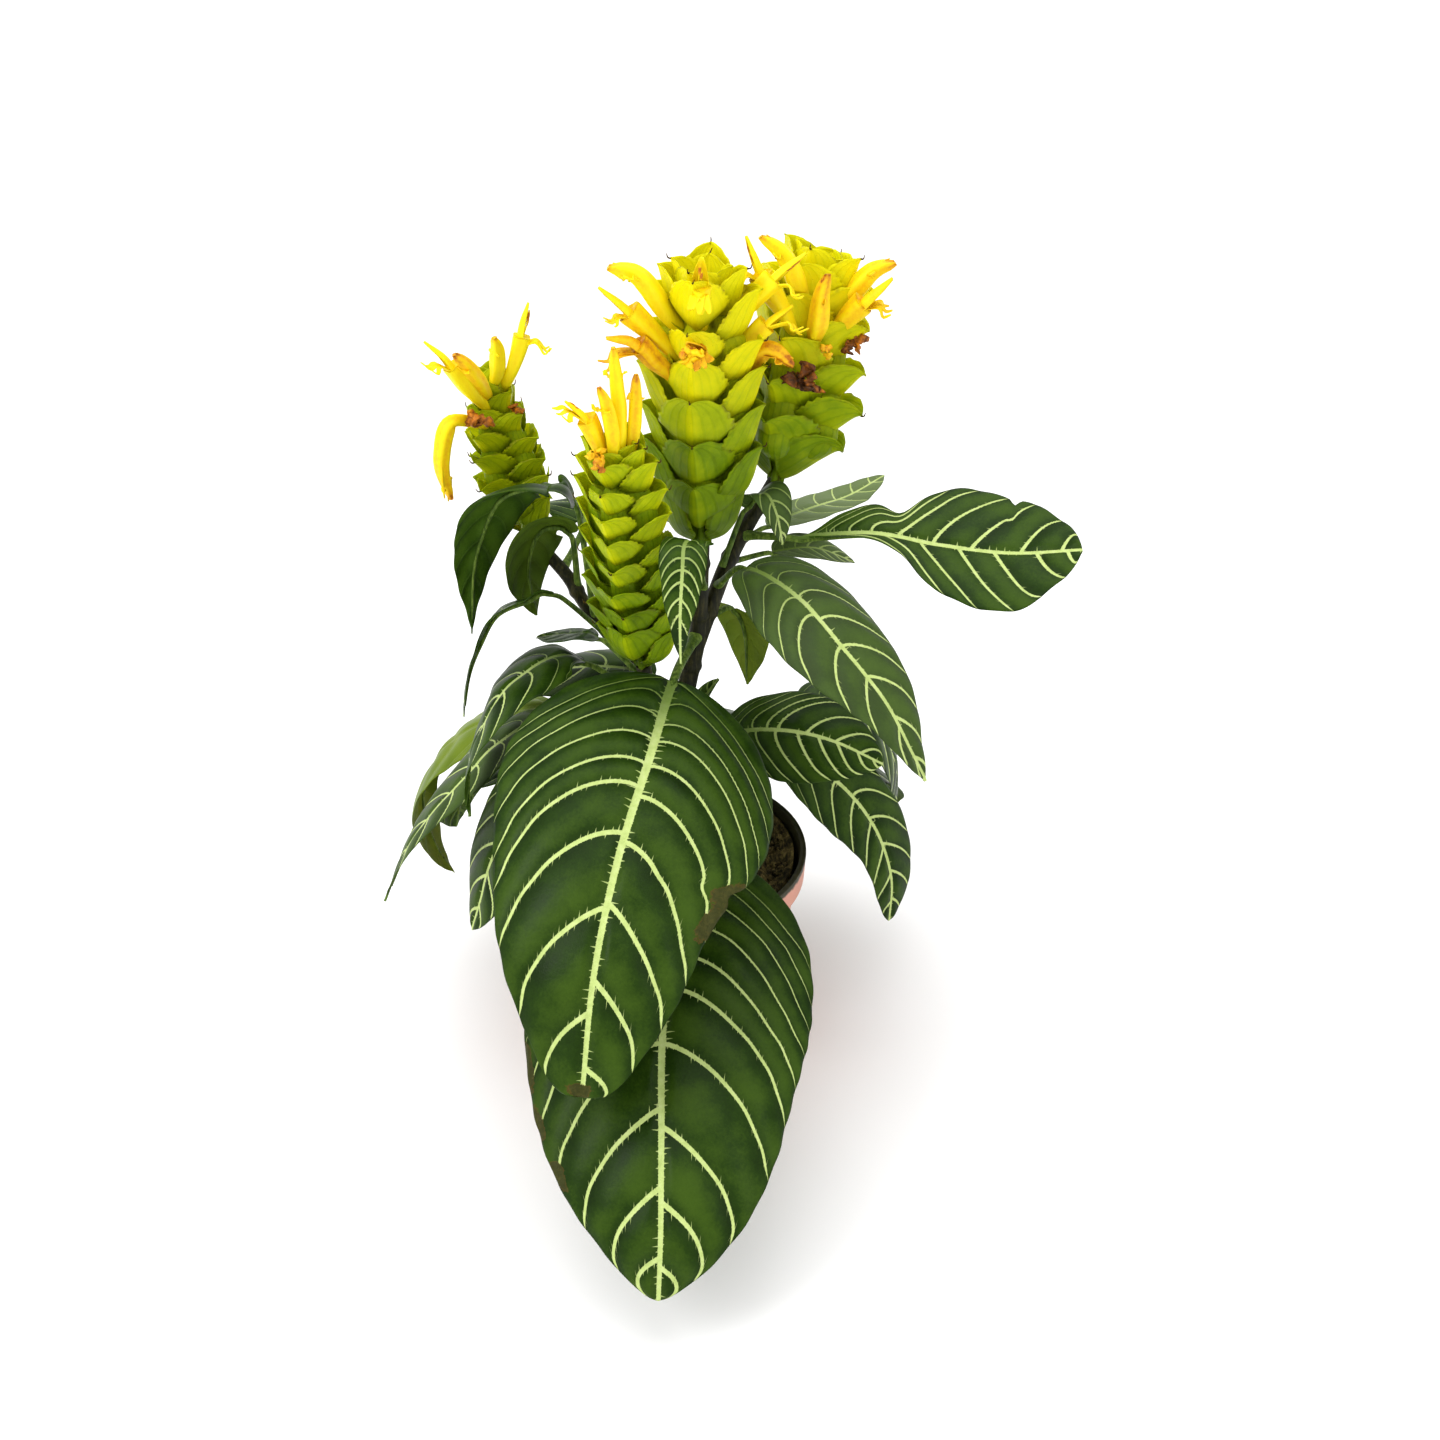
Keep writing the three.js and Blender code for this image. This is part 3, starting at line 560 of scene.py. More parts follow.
def make_mix():
    """The crumbly top of the potting mix, down to the pot's floor, with crumbs and bark bits on it."""
    rng = random.Random(11)
    radius = np.linspace(0.02, 1, MIX_RINGS)[:, None] ** 0.85 * MIX_RADIUS
    angle = around(MIX_SIDES)
    x = radius * np.cos(angle)
    y = radius * np.sin(angle)
    lumps = 0
    for seed, size, count, tall in ((3, 4, 7, 0.9), (4, 1.6, 9, 0.7), (5, 0.8, 9, 0.35)):
        lumps = lumps + wobble(seed, x / size, y / size, count=count) * tall
    z = mix_top(radius, MIX_RADIUS) + lumps * smooth(MIX_RADIUS - radius, -2, 3)
    wall = np.array(MIX_WALL)
    ring = np.stack([np.cos(angle), np.sin(angle), 0 * angle], -1)
    skirt = wall[:, None, :1] * ring + wall[:, None, 1:] * Z
    points = np.concatenate([np.stack([x, y, z], -1), skirt])
    n = len(points) * MIX_SIDES
    caps = np.concatenate([fan(n, 0, MIX_SIDES), fan(n + 1, n - MIX_SIDES, MIX_SIDES, True)])
    points = np.concatenate([points.reshape(-1, 3), [[0, 0, z[0].mean()], [0, 0, wall[-1, 1]]]])
    shape = Shape()
    shape.add(points, [grid(MIX_RINGS + len(wall), MIX_SIDES, True)[:, ::-1], caps])
    for _ in range(CRUMBS):
        r = CRUMB_SPREAD * math.sqrt(rng.random())
        a = rng.uniform(0, 6.283)
        size = rng.uniform(0.6, 2.2)
        long = size * rng.uniform(1, 3)
        lie = rng.uniform(0, 6.283)
        way = np.array([math.cos(lie), math.sin(lie), rng.uniform(-0.3, 0.4)])
        middle = np.array([r * math.cos(a), r * math.sin(a), mix_top(r, 54) + 0.5])
        if r + long > CRUMB_LIMIT:
            continue
        share = np.linspace(-1, 1, CRUMB_RINGS)
        centre = middle + share[:, None] * unit(way) * long
        across = unit(np.cross(way, Z))
        up = np.cross(across, unit(way))
        radii = size * np.sqrt(np.maximum(1 - share ** 2, 0.06))
        bumps = np.array([[radius * rng.uniform(0.7, 1.2) for _ in range(CRUMB_SIDES)] for radius in radii])
        ways = [np.tile(w, (CRUMB_RINGS, 1)) for w in (across, up)]
        shape.add(*tube(centre, *ways, bumps, CRUMB_SIDES))
    shape.make("peat_mix", [PEAT], "potting_mix")


# ---- stems

STEMS = [
    ("main_stem", [[0, 0, 48], [1, 0, 120], [3, 0, 185], [9, 1, 222], [11, 0, 268]], [5.5, 3.6]),
    ("right_shoot", [[5, 0, 205], [14, 4, 232], [26, 13, 260], [43, 24, 286]], [4, 3.2]),
    ("front_shoot", [[0, -2, 160], [-7, -14, 190], [-12, -26, 211], [-14, -31, 226]], [3.8, 3.2]),
    ("left_shoot", [[1, 1, 172], [-16, 5, 200], [-38, 10, 227], [-50, 17, 244], [-66, 27, 258]], [4, 2.8]),
]
NODE_SPACING = 26  # length of stem between two pairs of leaf scars
STEM_SIDES = 28
STEM_RING = 0.9  # length of stem from one ring of its points to the next


def make_stem(name, route, radius):
    """A stem that swells into a ring at each node."""
    curve = Route(route)
    share = np.linspace(0, 1, int(curve.length / STEM_RING))
    centre, _, across, up = curve.frames(share, np.array([0.0, 1.0, 0.0]))
    along = share[:, None] * curve.length
    angle = around(STEM_SIDES)
    to_node = np.abs((along / NODE_SPACING + 0.4) % 1 - 0.5) * NODE_SPACING
    base = radius[0] + (radius[1] - radius[0]) * share[:, None]
    uneven = wobble(name, along / 5, angle * 2 + 0 * along, count=6) * 0.16
    ridges = 0.12 * np.sin(angle * 4 + 0.5)
    radii = base * 0.97 + 0.7 * np.exp(-(to_node / 1.8) ** 2) + uneven + ridges
    shape = Shape()
    shape.add(*tube(centre, across, up, radii, STEM_SIDES))
    shape.make(name + "_bark", [BARK], name)


# ---- leaves

# Each leaf: its width, ends, fold, droop, roll and rib are those of the solid model. The rib starts at
# the stem, its first span is the petiole, and the blade runs on from its second point. ends say how
# blunt the blade's base and tip are, and how much it tapers between them. fold is the angle at which
# each half stands from the midrib at the base (left, right) and at the tip (left, right), droop how
# far each half bends down towards its margin, and roll how far the blade is turned about the midrib,
# both at the base and at the tip. left and right say how far along the blade each side vein leaves the
# midrib, or count how many there are. hurt lists brown patches: the share along the blade, the place
# across it from -1 to 1, and the patch's half size in both. pinch lists places where one half is
# narrower, or wider: the side, the share along, how far it reaches, and by how much. tint makes the
# tissue paler and greyer as a painted sheen, plain hides the veins, and olive yellows and lightens the
# tissue as painted light shining through the leaf.
LEAVES = {
    "leaf_front_upper": dict(
        width=120, ends=(0.5, 0.25, 0.8), fold=(-6, 8, 0, 4), droop=(24, 45), roll=(-12, 0),
        rib=[[8, -2, 222], [-1, -36, 221], [-10, -78, 210], [-22, -120, 189], [-31, -155, 158],
             [-36, -180, 116]],
        left=[0.035, 0.085, 0.143, 0.19, 0.256, 0.334, 0.447, 0.587, 0.75, 0.939],
        right=[0.03, 0.075, 0.125, 0.187, 0.253, 0.311, 0.428, 0.596, 0.82],
        hurt=[(0.5, -1.0, 0.085, 0.3), (0.58, -0.98, 0.085, 0.26), (0.99, 0.1, 0.035, 0.8)],
        pinch=[(-1, 0.62, 0.16, 0.12), (-1, 0.5, 0.02, 0.06)],
    ),
    "leaf_front_lower": dict(
        width=128, ends=(0.45, 0.72), fold=(4, 4, 0, 0), droop=(20, 50),
        rib=[[1, -5, 140], [4, -46, 134], [0, -88, 124], [-5, -130, 107], [-5, -172, 85], [-5, -200, 61],
             [-6, -214, 36]],
        left=[0.04, 0.09, 0.14, 0.2, 0.27, 0.346, 0.471, 0.648, 0.8, 0.93],
        right=[0.03, 0.08, 0.13, 0.19, 0.26, 0.35, 0.47, 0.61, 0.77, 0.91],
        hurt=[(0.5, 1.0, 0.09, 0.1), (0.62, 1.0, 0.08, 0.12), (0.74, 0.95, 0.06, 0.12)],
    ),
    "leaf_right_front": dict(
        width=56, ends=(0.5, 1.05), fold=(8, 8, 8, 8), droop=(30, 30),
        rib=[[18, 6, 244], [30, -16, 265], [51, -33, 261], [69, -53, 249], [87, -69, 232], [98, -79, 214],
             [105, -81, 200]],
        left=[0.06, 0.14, 0.23, 0.34, 0.46, 0.59, 0.75, 0.9],
        right=[0.056, 0.144, 0.228, 0.314, 0.46, 0.594, 0.786, 0.92], painted_sheen=0.14,
    ),
    "leaf_right_far": dict(
        width=64, ends=(1.5, 0.7), fold=(0, 50, 0, 0), droop=(10, 25), roll=(28, 28),
        rib=[[30, 13, 265], [50, 4, 269], [84, 0, 273], [113, -5, 270], [142, -12, 270], [171, -20, 276]],
        left=[0.09, 0.15, 0.21, 0.28, 0.37, 0.49, 0.62, 0.79, 0.93],
        right=[0.2, 0.33, 0.45, 0.58, 0.7, 0.845, 0.95],
        pinch=[(-1, 0.15, 0.1, -0.35), (-1, 0.36, 0.055, 0.4), (-1, 0.55, 0.12, -0.2),
               (-1, 0.744, 0.015, 0.13),
               (-1, 0.92, 0.05, 0.12), (1, 0.27, 0.13, 0.6), (1, 0.4, 0.05, 0.18), (1, 0.92, 0.06, 0.15)],
    ),
    "leaf_right_back": dict(
        width=23, ends=(0.5, 0.7),
        rib=[[24, 12, 258], [40, 24, 264], [60, 45, 262], [78, 65, 258], [96, 86, 258]], count=7, painted_sheen=0.62,
    ),
    "leaf_right_curl": dict(
        width=20, ends=(0.5, 0.9), fold=(15, 15, 15, 15),
        rib=[[20, 7, 253], [30, 10, 280], [38, 4, 290], [43, -3, 284], [46, -7, 271]], count=6, painted_sheen=0.15,
    ),
    "leaf_right_small": dict(
        width=24, ends=(0.5, 0.7), fold=(10, 10, 0, 0), droop=(0, 10),
        rib=[[20, 10, 252], [42, 18, 254], [61, 22, 254], [79, 20, 248]], count=7, painted_sheen=0.3,
    ),
    "leaf_centre_small": dict(
        width=20, ends=(0.38, 1.15), fold=(5, 5, 5, 5), droop=(15, 15),
        rib=[[12, -3, 248], [9, -46, 292], [5, -58, 299], [4, -66, 290], [3, -71, 272], [3, -73, 252]],
        left=[0.05, 0.12, 0.19, 0.26, 0.33, 0.4, 0.48, 0.58, 0.7],
        right=[0.06, 0.12, 0.18, 0.26, 0.33, 0.4, 0.47, 0.57, 0.66],
    ),
    "leaf_right_hang": dict(
        width=30, ends=(0.25, 0.95), droop=(10, 10),
        rib=[[13, 4, 228], [25, 14, 228], [31, 20, 212], [32, 23, 182]], count=5, plain=1.0, painted_backlight=0.95,
    ),
    "leaf_right_mid": dict(
        width=50, ends=(0.7, 0.75), droop=(20, 20), roll=(22, 22),
        rib=[[4, 0, 182], [17, -10, 177], [37, -12, 180], [55, -16, 181], [72, -20, 178], [92, -25, 170]],
        left=[0.08, 0.15, 0.22, 0.3, 0.36, 0.53, 0.7, 0.86],
        right=[0.14, 0.24, 0.35, 0.48, 0.6, 0.71, 0.84, 0.94],
    ),
    "leaf_right_low": dict(
        width=46, ends=(0.55, 0.75), droop=(15, 25), roll=(10, 45),
        rib=[[3, 0, 166], [37, 5, 160], [58, 5, 152], [78, 3, 136], [93, -1, 115], [101, -5, 90],
             [101, -8, 66]],
        count=9, pinch=[(1, 0.72, 0.22, 0.3)],
    ),
    "leaf_right_low_back": dict(
        width=44, ends=(0.5, 0.8), droop=(15, 15), roll=(0, 30),
        rib=[[4, 5, 160], [57, 32, 167], [88, 42, 151], [104, 44, 126], [106, 44, 92]], count=8,
    ),
    "leaf_left_up": dict(
        width=40, ends=(0.5, 1.35), droop=(20, 20), roll=(20, 45),
        rib=[[-37, 9, 226], [-42, -8, 293], [-53, -10, 301], [-65, -10, 300], [-75, -6, 292], [-83, 0, 274],
             [-89, 4, 252], [-92, 7, 219]], count=7, plain=0.85,
    ),
    "leaf_left_up_back": dict(
        width=34, ends=(0.5, 0.95), droop=(15, 15), roll=(50, 40),
        rib=[[-44, 14, 238], [-46, 10, 268], [-56, 9, 272], [-63, 9, 264], [-66, 9, 247], [-63, 9, 227]],
        count=6, plain=0.9, painted_backlight=0.3,
    ),
    "leaf_left_thin": dict(
        width=22, ends=(0.6, 1), roll=(30, 0),
        rib=[[-28, 7, 214], [-53, -8, 248], [-65, -12, 247], [-78, -14, 241], [-86, -14, 226],
             [-92, -14, 210],
             [-96, -14, 188]], count=7, plain=0.4,
    ),
    "leaf_left_short": dict(
        width=28, ends=(0.5, 1), droop=(10, 10), roll=(20, 10),
        rib=[[-12, -24, 212], [-33, -22, 234], [-45, -20, 235], [-61, -13, 229]], count=5, plain=0.6,
    ),
    "leaf_left_mid": dict(
        width=42, ends=(0.5, 1.1), droop=(20, 20), roll=(0, 50),
        rib=[[-8, -18, 194], [-40, -14, 217], [-53, -16, 221], [-67, -25, 217], [-78, -34, 209],
             [-90, -46, 186],
             [-91, -54, 162]], count=7,
    ),
    "leaf_left_back": dict(
        width=46, ends=(0.6, 0.9), droop=(20, 20),
        rib=[[-2, 4, 164], [-58, 18, 172], [-88, 22, 163], [-113, 26, 143], [-126, 28, 114], [-122, 29, 84],
             [-114, 30, 66]], count=8, plain=0.9, painted_backlight=0.9,
    ),
    "leaf_left_long": dict(
        width=32, ends=(0.6, 1.2), droop=(10, 10), roll=(0, 25),
        rib=[[-4, -8, 168], [-53, -12, 187], [-79, -22, 180], [-95, -32, 167], [-110, -40, 153],
             [-122, -46, 137],
             [-133, -50, 112]], count=8, painted_sheen=0.12,
    ),
    "leaf_left_low": dict(
        width=56, ends=(0.5, 0.8), droop=(20, 20),
        rib=[[-2, -3, 150], [-38, -16, 168], [-54, -24, 170], [-72, -36, 154], [-85, -44, 128],
             [-90, -48, 111],
             [-95, -50, 95]], count=7,
    ),
    "leaf_left_wide": dict(
        width=42, ends=(0.5, 0.8), droop=(20, 20),
        rib=[[2, -1, 182], [-10, 1, 200], [-30, 6, 202], [-50, 11, 198], [-66, 16, 188],
             [-77, 20, 174]], count=7,
    ),
    "leaf_young": dict(
        width=10, ends=(0.7, 1), fold=(25, 25, 25, 25),
        rib=[[4, 2, 172], [9, 8, 178], [13, 11, 184], [18, 13, 191]], count=4,
    ),
    "leaf_back_low": dict(
        width=98, ends=(0.5, 0.7), fold=(6, 6, 0, 0), droop=(20, 30),
        rib=[[1, 4, 116], [-6, 42, 130], [-12, 80, 126], [-16, 118, 108], [-20, 148, 82],
             [-22, 164, 50]], count=9,
    ),
    "leaf_back_left": dict(
        width=80, ends=(0.5, 0.8), fold=(6, 6, 0, 0), droop=(20, 30),
        rib=[[-2, 3, 134], [-40, 30, 142], [-72, 50, 132], [-98, 68, 110], [-114, 80, 82],
             [-120, 86, 54]], count=9,
    ),
    "leaf_back_right": dict(
        width=74, ends=(0.5, 0.8), fold=(6, 6, 0, 0), droop=(20, 30),
        rib=[[3, 3, 130], [36, 33, 136], [63, 60, 124], [85, 81, 104], [99, 96, 78],
             [105, 104, 52]], count=9,
    ),
    "leaf_back_upper": dict(
        width=34, ends=(0.5, 0.9), fold=(6, 6, 0, 0), droop=(15, 15),
        rib=[[11, 3, 246], [9, 22, 262], [6, 42, 264], [2, 60, 256], [0, 72, 238]], count=7,
    ),
    "leaf_back_side": dict(
        width=36, ends=(0.5, 0.9), fold=(6, 6, 0, 0), droop=(15, 15),
        rib=[[-50, 19, 246], [-42, 40, 256], [-44, 60, 258], [-50, 78, 248], [-54, 90, 228]], count=7,
    ),
}
BLADE_THICKNESS = 0.5
VEIN_BOW = 0.26  # how far side veins near the base swing back before they turn to the tip
FULL_SIZE = 120  # the width of a blade whose veins and relief have their full size
POINT_SPACING = 1.3  # between the points of a blade
PETIOLE_RING, PETIOLE_SIDES = 2.2, 12


def outline(t, base, tip, taper=0):
    """The width of a blade at a share of its length, as a share of its widest."""
    def swell(x):
        return x ** base * (1 - x) ** tip * (1 - taper * x)

    return swell(t) / swell(np.arange(1, 40) / 40).max()


def vein_numbers(t, across, half, length, slant, starts):
    """The number of the side vein at places along and across half a blade, and the way along it.

    The number is whole on a vein, and in between it grows evenly from one vein to the next. A vein that
    leaves the midrib at one share of the blade's length reaches the margin at a greater one, more so
    with more slant.
    """
    at_rib = np.linspace(0, 1, 300)
    found = np.empty((len(t), len(across)))
    lane = np.zeros_like(found)
    so_far = np.zeros(300)
    before = None
    for j, v in enumerate(across):
        curl = v ** np.maximum(2.2 - 1.7 * at_rib, 1.05)
        course = at_rib + slant * (0.2 + 0.8 * at_rib) * (1 - at_rib) * curl
        course = course - VEIN_BOW * (1 - at_rib) ** 3 * v * (1 - v)
        here = np.stack([course * length, v * np.interp(course, t, half)], -1)
        if before is not None:
            so_far = so_far + np.linalg.norm(here - before, axis=-1)
        before = here
        found[:, j] = np.interp(t, course, at_rib)
        lane[:, j] = np.interp(found[:, j], at_rib, so_far)
    marks = np.concatenate([[0], starts, [1]])
    count = len(starts)
    first = max(0.3, 1 - starts[0] / (starts[1] - starts[0]))
    numbers = np.concatenate([[first], np.arange(1, count + 1), [count + 0.55]])
    return np.interp(found, marks, numbers), found, lane


def spacing_of(points, number):
    """How many millimetres there are from one vein to the next, at each point of half a blade."""
    by_row, by_column = np.gradient(points, axis=0), np.gradient(points, axis=1)
    row, column = np.gradient(number, axis=0), np.gradient(number, axis=1)
    e = (by_row ** 2).sum(-1)
    f = (by_row * by_column).sum(-1)
    g = (by_column ** 2).sum(-1)
    steep = (g * row ** 2 - 2 * f * row * column + e * column ** 2) / np.maximum(e * g - f ** 2, 1e-9)
    return np.clip(1 / np.sqrt(np.maximum(steep, 1e-6)), 0.5, 60)


def make_leaf(name, width, rib, ends, fold=(0, 0, 0, 0), droop=(0, 0), roll=(0, 0), left=None, right=None,
              count=8, hurt=(), pinch=(), painted_sheen=0.0, plain=0.0, painted_backlight=0.0):
    curve = Route(rib)
    petiole = curve.share_of(1)
    length = curve.length * (1 - petiole)
    rows = int(np.clip(length / POINT_SPACING, 40, 130))
    columns = int(np.clip(width / 2 / POINT_SPACING, 10, 40))
    if left is None:
        left = ((np.arange(count) + 0.6) / (count + 0.4)) ** 1.2
        right = ((np.arange(count) + 0.8) / (count + 0.5)) ** 1.2
    size = float(np.clip((width / FULL_SIZE) ** 0.5, 0.45, 1))
    seed = sum(map(ord, name)) % 97
    slant = min(1.0, width / length / 0.68)

    # Where the midrib runs and how the blade is turned about it, for each row.
    t = (1 - np.cos(np.linspace(0, np.pi, rows))) / 2 * 0.6 + np.linspace(0, 1, rows) * 0.4
    ahead = unit((np.array(rib[-1], float) - rib[1]) * [1, 1, 0])
    at, on, across, _ = curve.frames(petiole + t * (1 - petiole), np.cross(ahead, Z))
    across = turned(across, on, np.radians(roll[0] + (roll[1] - roll[0]) * t))
    up = np.cross(across, on)
    whole = np.maximum(width / 2 * outline(np.clip(t, 1e-4, 1 - 1e-4), *ends), 0.35)
    whole = whole * (1 + 0.02 * wobble(seed, t * 9)) + 0.25 * np.sin(t * length / 2.6 + seed)
    whole = np.maximum(whole, 0.35)
    bend = np.radians(droop[0] + (droop[1] - droop[0]) * t) / (width / 2)
    bend = np.where(np.abs(bend) < 1e-5, 1e-5, bend)[:, None]
    along = (t * length)[:, None]

    share = np.linspace(0, 1, columns + 1)
    sides = []
    for side, starts in ((-1, left), (1, right)):
        start, end = fold[0 if side < 0 else 1], fold[2 if side < 0 else 3]
        half = whole
        for which, middle, tall, less in pinch:
            if which == side:
                half = half * (1 - less * np.exp(-((t - middle) / tall) ** 2))
        out = half[:, None] * share
        tilt = np.radians(start + (end - start) * t)[:, None]
        lean = tilt - bend * out
        x = (np.sin(tilt) - np.sin(lean)) / bend
        z = (np.cos(lean) - np.cos(tilt)) / bend
        normal = up[:, None] * np.cos(lean)[..., None] - side * across[:, None] * np.sin(lean)[..., None]
        flat = at[:, None] + across[:, None] * (side * x)[..., None] + up[:, None] * z[..., None]
        number, start_share, lane = vein_numbers(t, share, half, length, slant, np.asarray(starts, float))
        spacing = spacing_of(flat, number)
        # The tissue bulges between the side veins, sinks at the midrib and waves at the margin.
        bulge = np.sin(np.pi * (number - np.floor(number))) ** 0.8 - 0.45
        relief = 1.7 * size * np.clip(spacing / 13, 0, 1.1) * bulge * smooth(out, 0.5, 5 * size)
        relief = relief * (1 - 0.6 * share ** 5) - 0.9 * size * np.exp(-(out / (2.4 * size)) ** 2)
        relief = relief + wobble(seed + side, along / 16, 2.0 * share + 0 * out) * 1.1 * size * share ** 2
        harm = np.zeros_like(out)
        for middle, place, tall, wide in hurt:
            harm = np.maximum(harm, 1 - np.hypot((t[:, None] - middle) / tall, (share * side - place) / wide))
        grow = smooth(start_share, 0.08, 0.4)
        side_half = size * (0.36 + 0.74 * grow) * (1 - 0.5 * share) * smooth(1.02 - share, 0, 0.12)
        rib_half = size * (2.0 - 1.1 * t[:, None])

        def triple(*values):
            return np.stack([value + 0 * out for value in values], -1)

        sides.append(dict(
            points=flat + normal * relief[..., None], normal=normal,
            thick=BLADE_THICKNESS * (1 - 0.6 * share ** 8) + 0 * out,
            veins=triple(number, lane, spacing), width=triple(side_half, rib_half, along),
            wear=triple(harm, seed / 10 + side, out), painted_sheen=triple(painted_sheen, plain, painted_backlight),
        ))

    def joined(key):
        return np.concatenate([sides[0][key][:, :0:-1], sides[1][key]], axis=1)

    points, *faces = sheet(joined("points"), joined("normal"), joined("thick"))
    n = rows * (2 * columns + 1)
    fields = {}
    for key in ("veins", "width", "wear", "painted_sheen"):
        blocks = [np.stack([g[:-1, :-1], g[:-1, 1:], g[1:, 1:], g[1:, :-1]], 2)
                  for g in (sides[0][key][:, ::-1], sides[1][key])]
        corners = np.concatenate(blocks, axis=1).reshape(-1, 4, 3)
        fields[key] = [corners, corners[:, ::-1], joined(key).reshape(-1, 3)[faces[2] % n]]
    shape = Shape(*fields)
    shape.add(points, faces, (0, 1, 1), **fields)

    # The petiole, which runs on under the blade as its midrib.
    reach = petiole + 0.93 * (1 - petiole)
    steps = np.linspace(0, reach, int(curve.length / PETIOLE_RING))
    blade = np.clip((steps - petiole) / (1 - petiole), 0, 1)
    centre, way, level, _ = curve.frames(steps, np.cross(ahead, Z))
    level = turned(level, way, np.radians(roll[0] + (roll[1] - roll[0]) * blade))
    above = np.cross(level, way)
    thick = size * 0.7 + 0.35
    radii = thick * np.where(steps < petiole, 2.3 - 0.5 * steps / max(petiole, 1e-3), 1.8 - 1.4 * blade)
    radii = radii + 0.9 * size * np.exp(-(steps * curve.length / 4) ** 2)
    under = smooth(steps, petiole - 0.04, petiole + 0.03) * (radii * 0.9 + 1.25 * size)
    shape.add(*tube(centre - above * under[:, None], level, above, radii, PETIOLE_SIDES, 0.9), (2, 2))
    shape.make(name + "_blade", [UPPER, UNDER, PETIOLE], name)


# ---- spikes

# Each spike: its node, foot and tip, how far the bracts reach out from foot to tip, the bracts in each
# of the four ranks, the angle of the first rank, a bract's length, how open the bracts are and how ripe
# their tone is, both low and high on the spike, and the radius of the stalk.
SPIKES = [
    dict(node="spike_centre", foot=[11, 0, 268], tip=[12, 0, 392], reach=[15, 25, 26, 25, 20],
         per_rank=6, turn=6, bract=33, openness=(0.15, 0.1), tone=(0.2, 0.88), core=3.6),
    dict(node="spike_front", foot=[-14, -31, 226], tip=[-23, -41, 337], reach=[15, 21, 21, 20, 15],
         per_rank=8, turn=12, bract=25, openness=(0.35, 0.3), tone=(0.2, 0.5), core=3.2),
    dict(node="spike_right", foot=[43, 24, 286], tip=[60, 42, 374], reach=[20, 32, 28, 26, 20],
         per_rank=5, turn=20, bract=38, openness=(0.9, 0.45), tone=(0.27, 0.85), core=3.2),
    dict(node="spike_left", foot=[-66, 27, 258], tip=[-81, 32, 332], reach=[14, 21, 20, 14, 10],
         per_rank=6, turn=30, bract=23, openness=(0.5, 0.5), tone=(0.4, 0.5), core=2.8),
]
BRACT_ROOT = 2.5
CORE_TIP_RADIUS = 4.5
CORE_RINGS, CORE_SIDES = 30, 48
RANK_TWIST = 0.7
CROWN_LEVELS = 3  # pairs of small upright bracts that close the top
FILLING = 0.6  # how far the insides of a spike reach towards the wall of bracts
FILLING_RIDGE = 0.24  # how much further they reach behind the four ranks, and less between them
# A bract from its foot to its tip: how far out and up the keel goes in one that is closed and in one
# that is open, and its half width as a share of the widest.
BRACT_RISE = [0, 0.12, 0.3, 0.5, 0.7, 0.8, 0.9, 1]
CLOSED_OUT = [0, 0.5, 0.78, 0.89, 0.95, 0.98, 1, 1.05]
CLOSED_UP = [0, 0.07, 0.26, 0.48, 0.7, 0.8, 0.89, 0.95]
OPEN_OUT = [0, 0.25, 0.48, 0.68, 0.85, 0.93, 1, 1.06]
OPEN_UP = [0, 0.08, 0.21, 0.34, 0.44, 0.48, 0.5, 0.49]
BRACT_WIDTH = [0.65, 0.9, 1, 0.98, 0.82, 0.64, 0.38, 0.02]
BRACT_BROAD = 0.6  # half the width of a bract as a share of its length
BRACT_FOLD = math.radians(40)  # how far each half of a bract stands up from the keel
BRACT_TEETH = 9
BRACT_ROWS, BRACT_COLUMNS = 36, 19
BRACT_THICKNESS = 0.55
HOOKED = 0.5  # the share of bracts whose tip ends in a dark hook
HOOK_TONE = 2.0  # so far above ripe that the material shows it dark


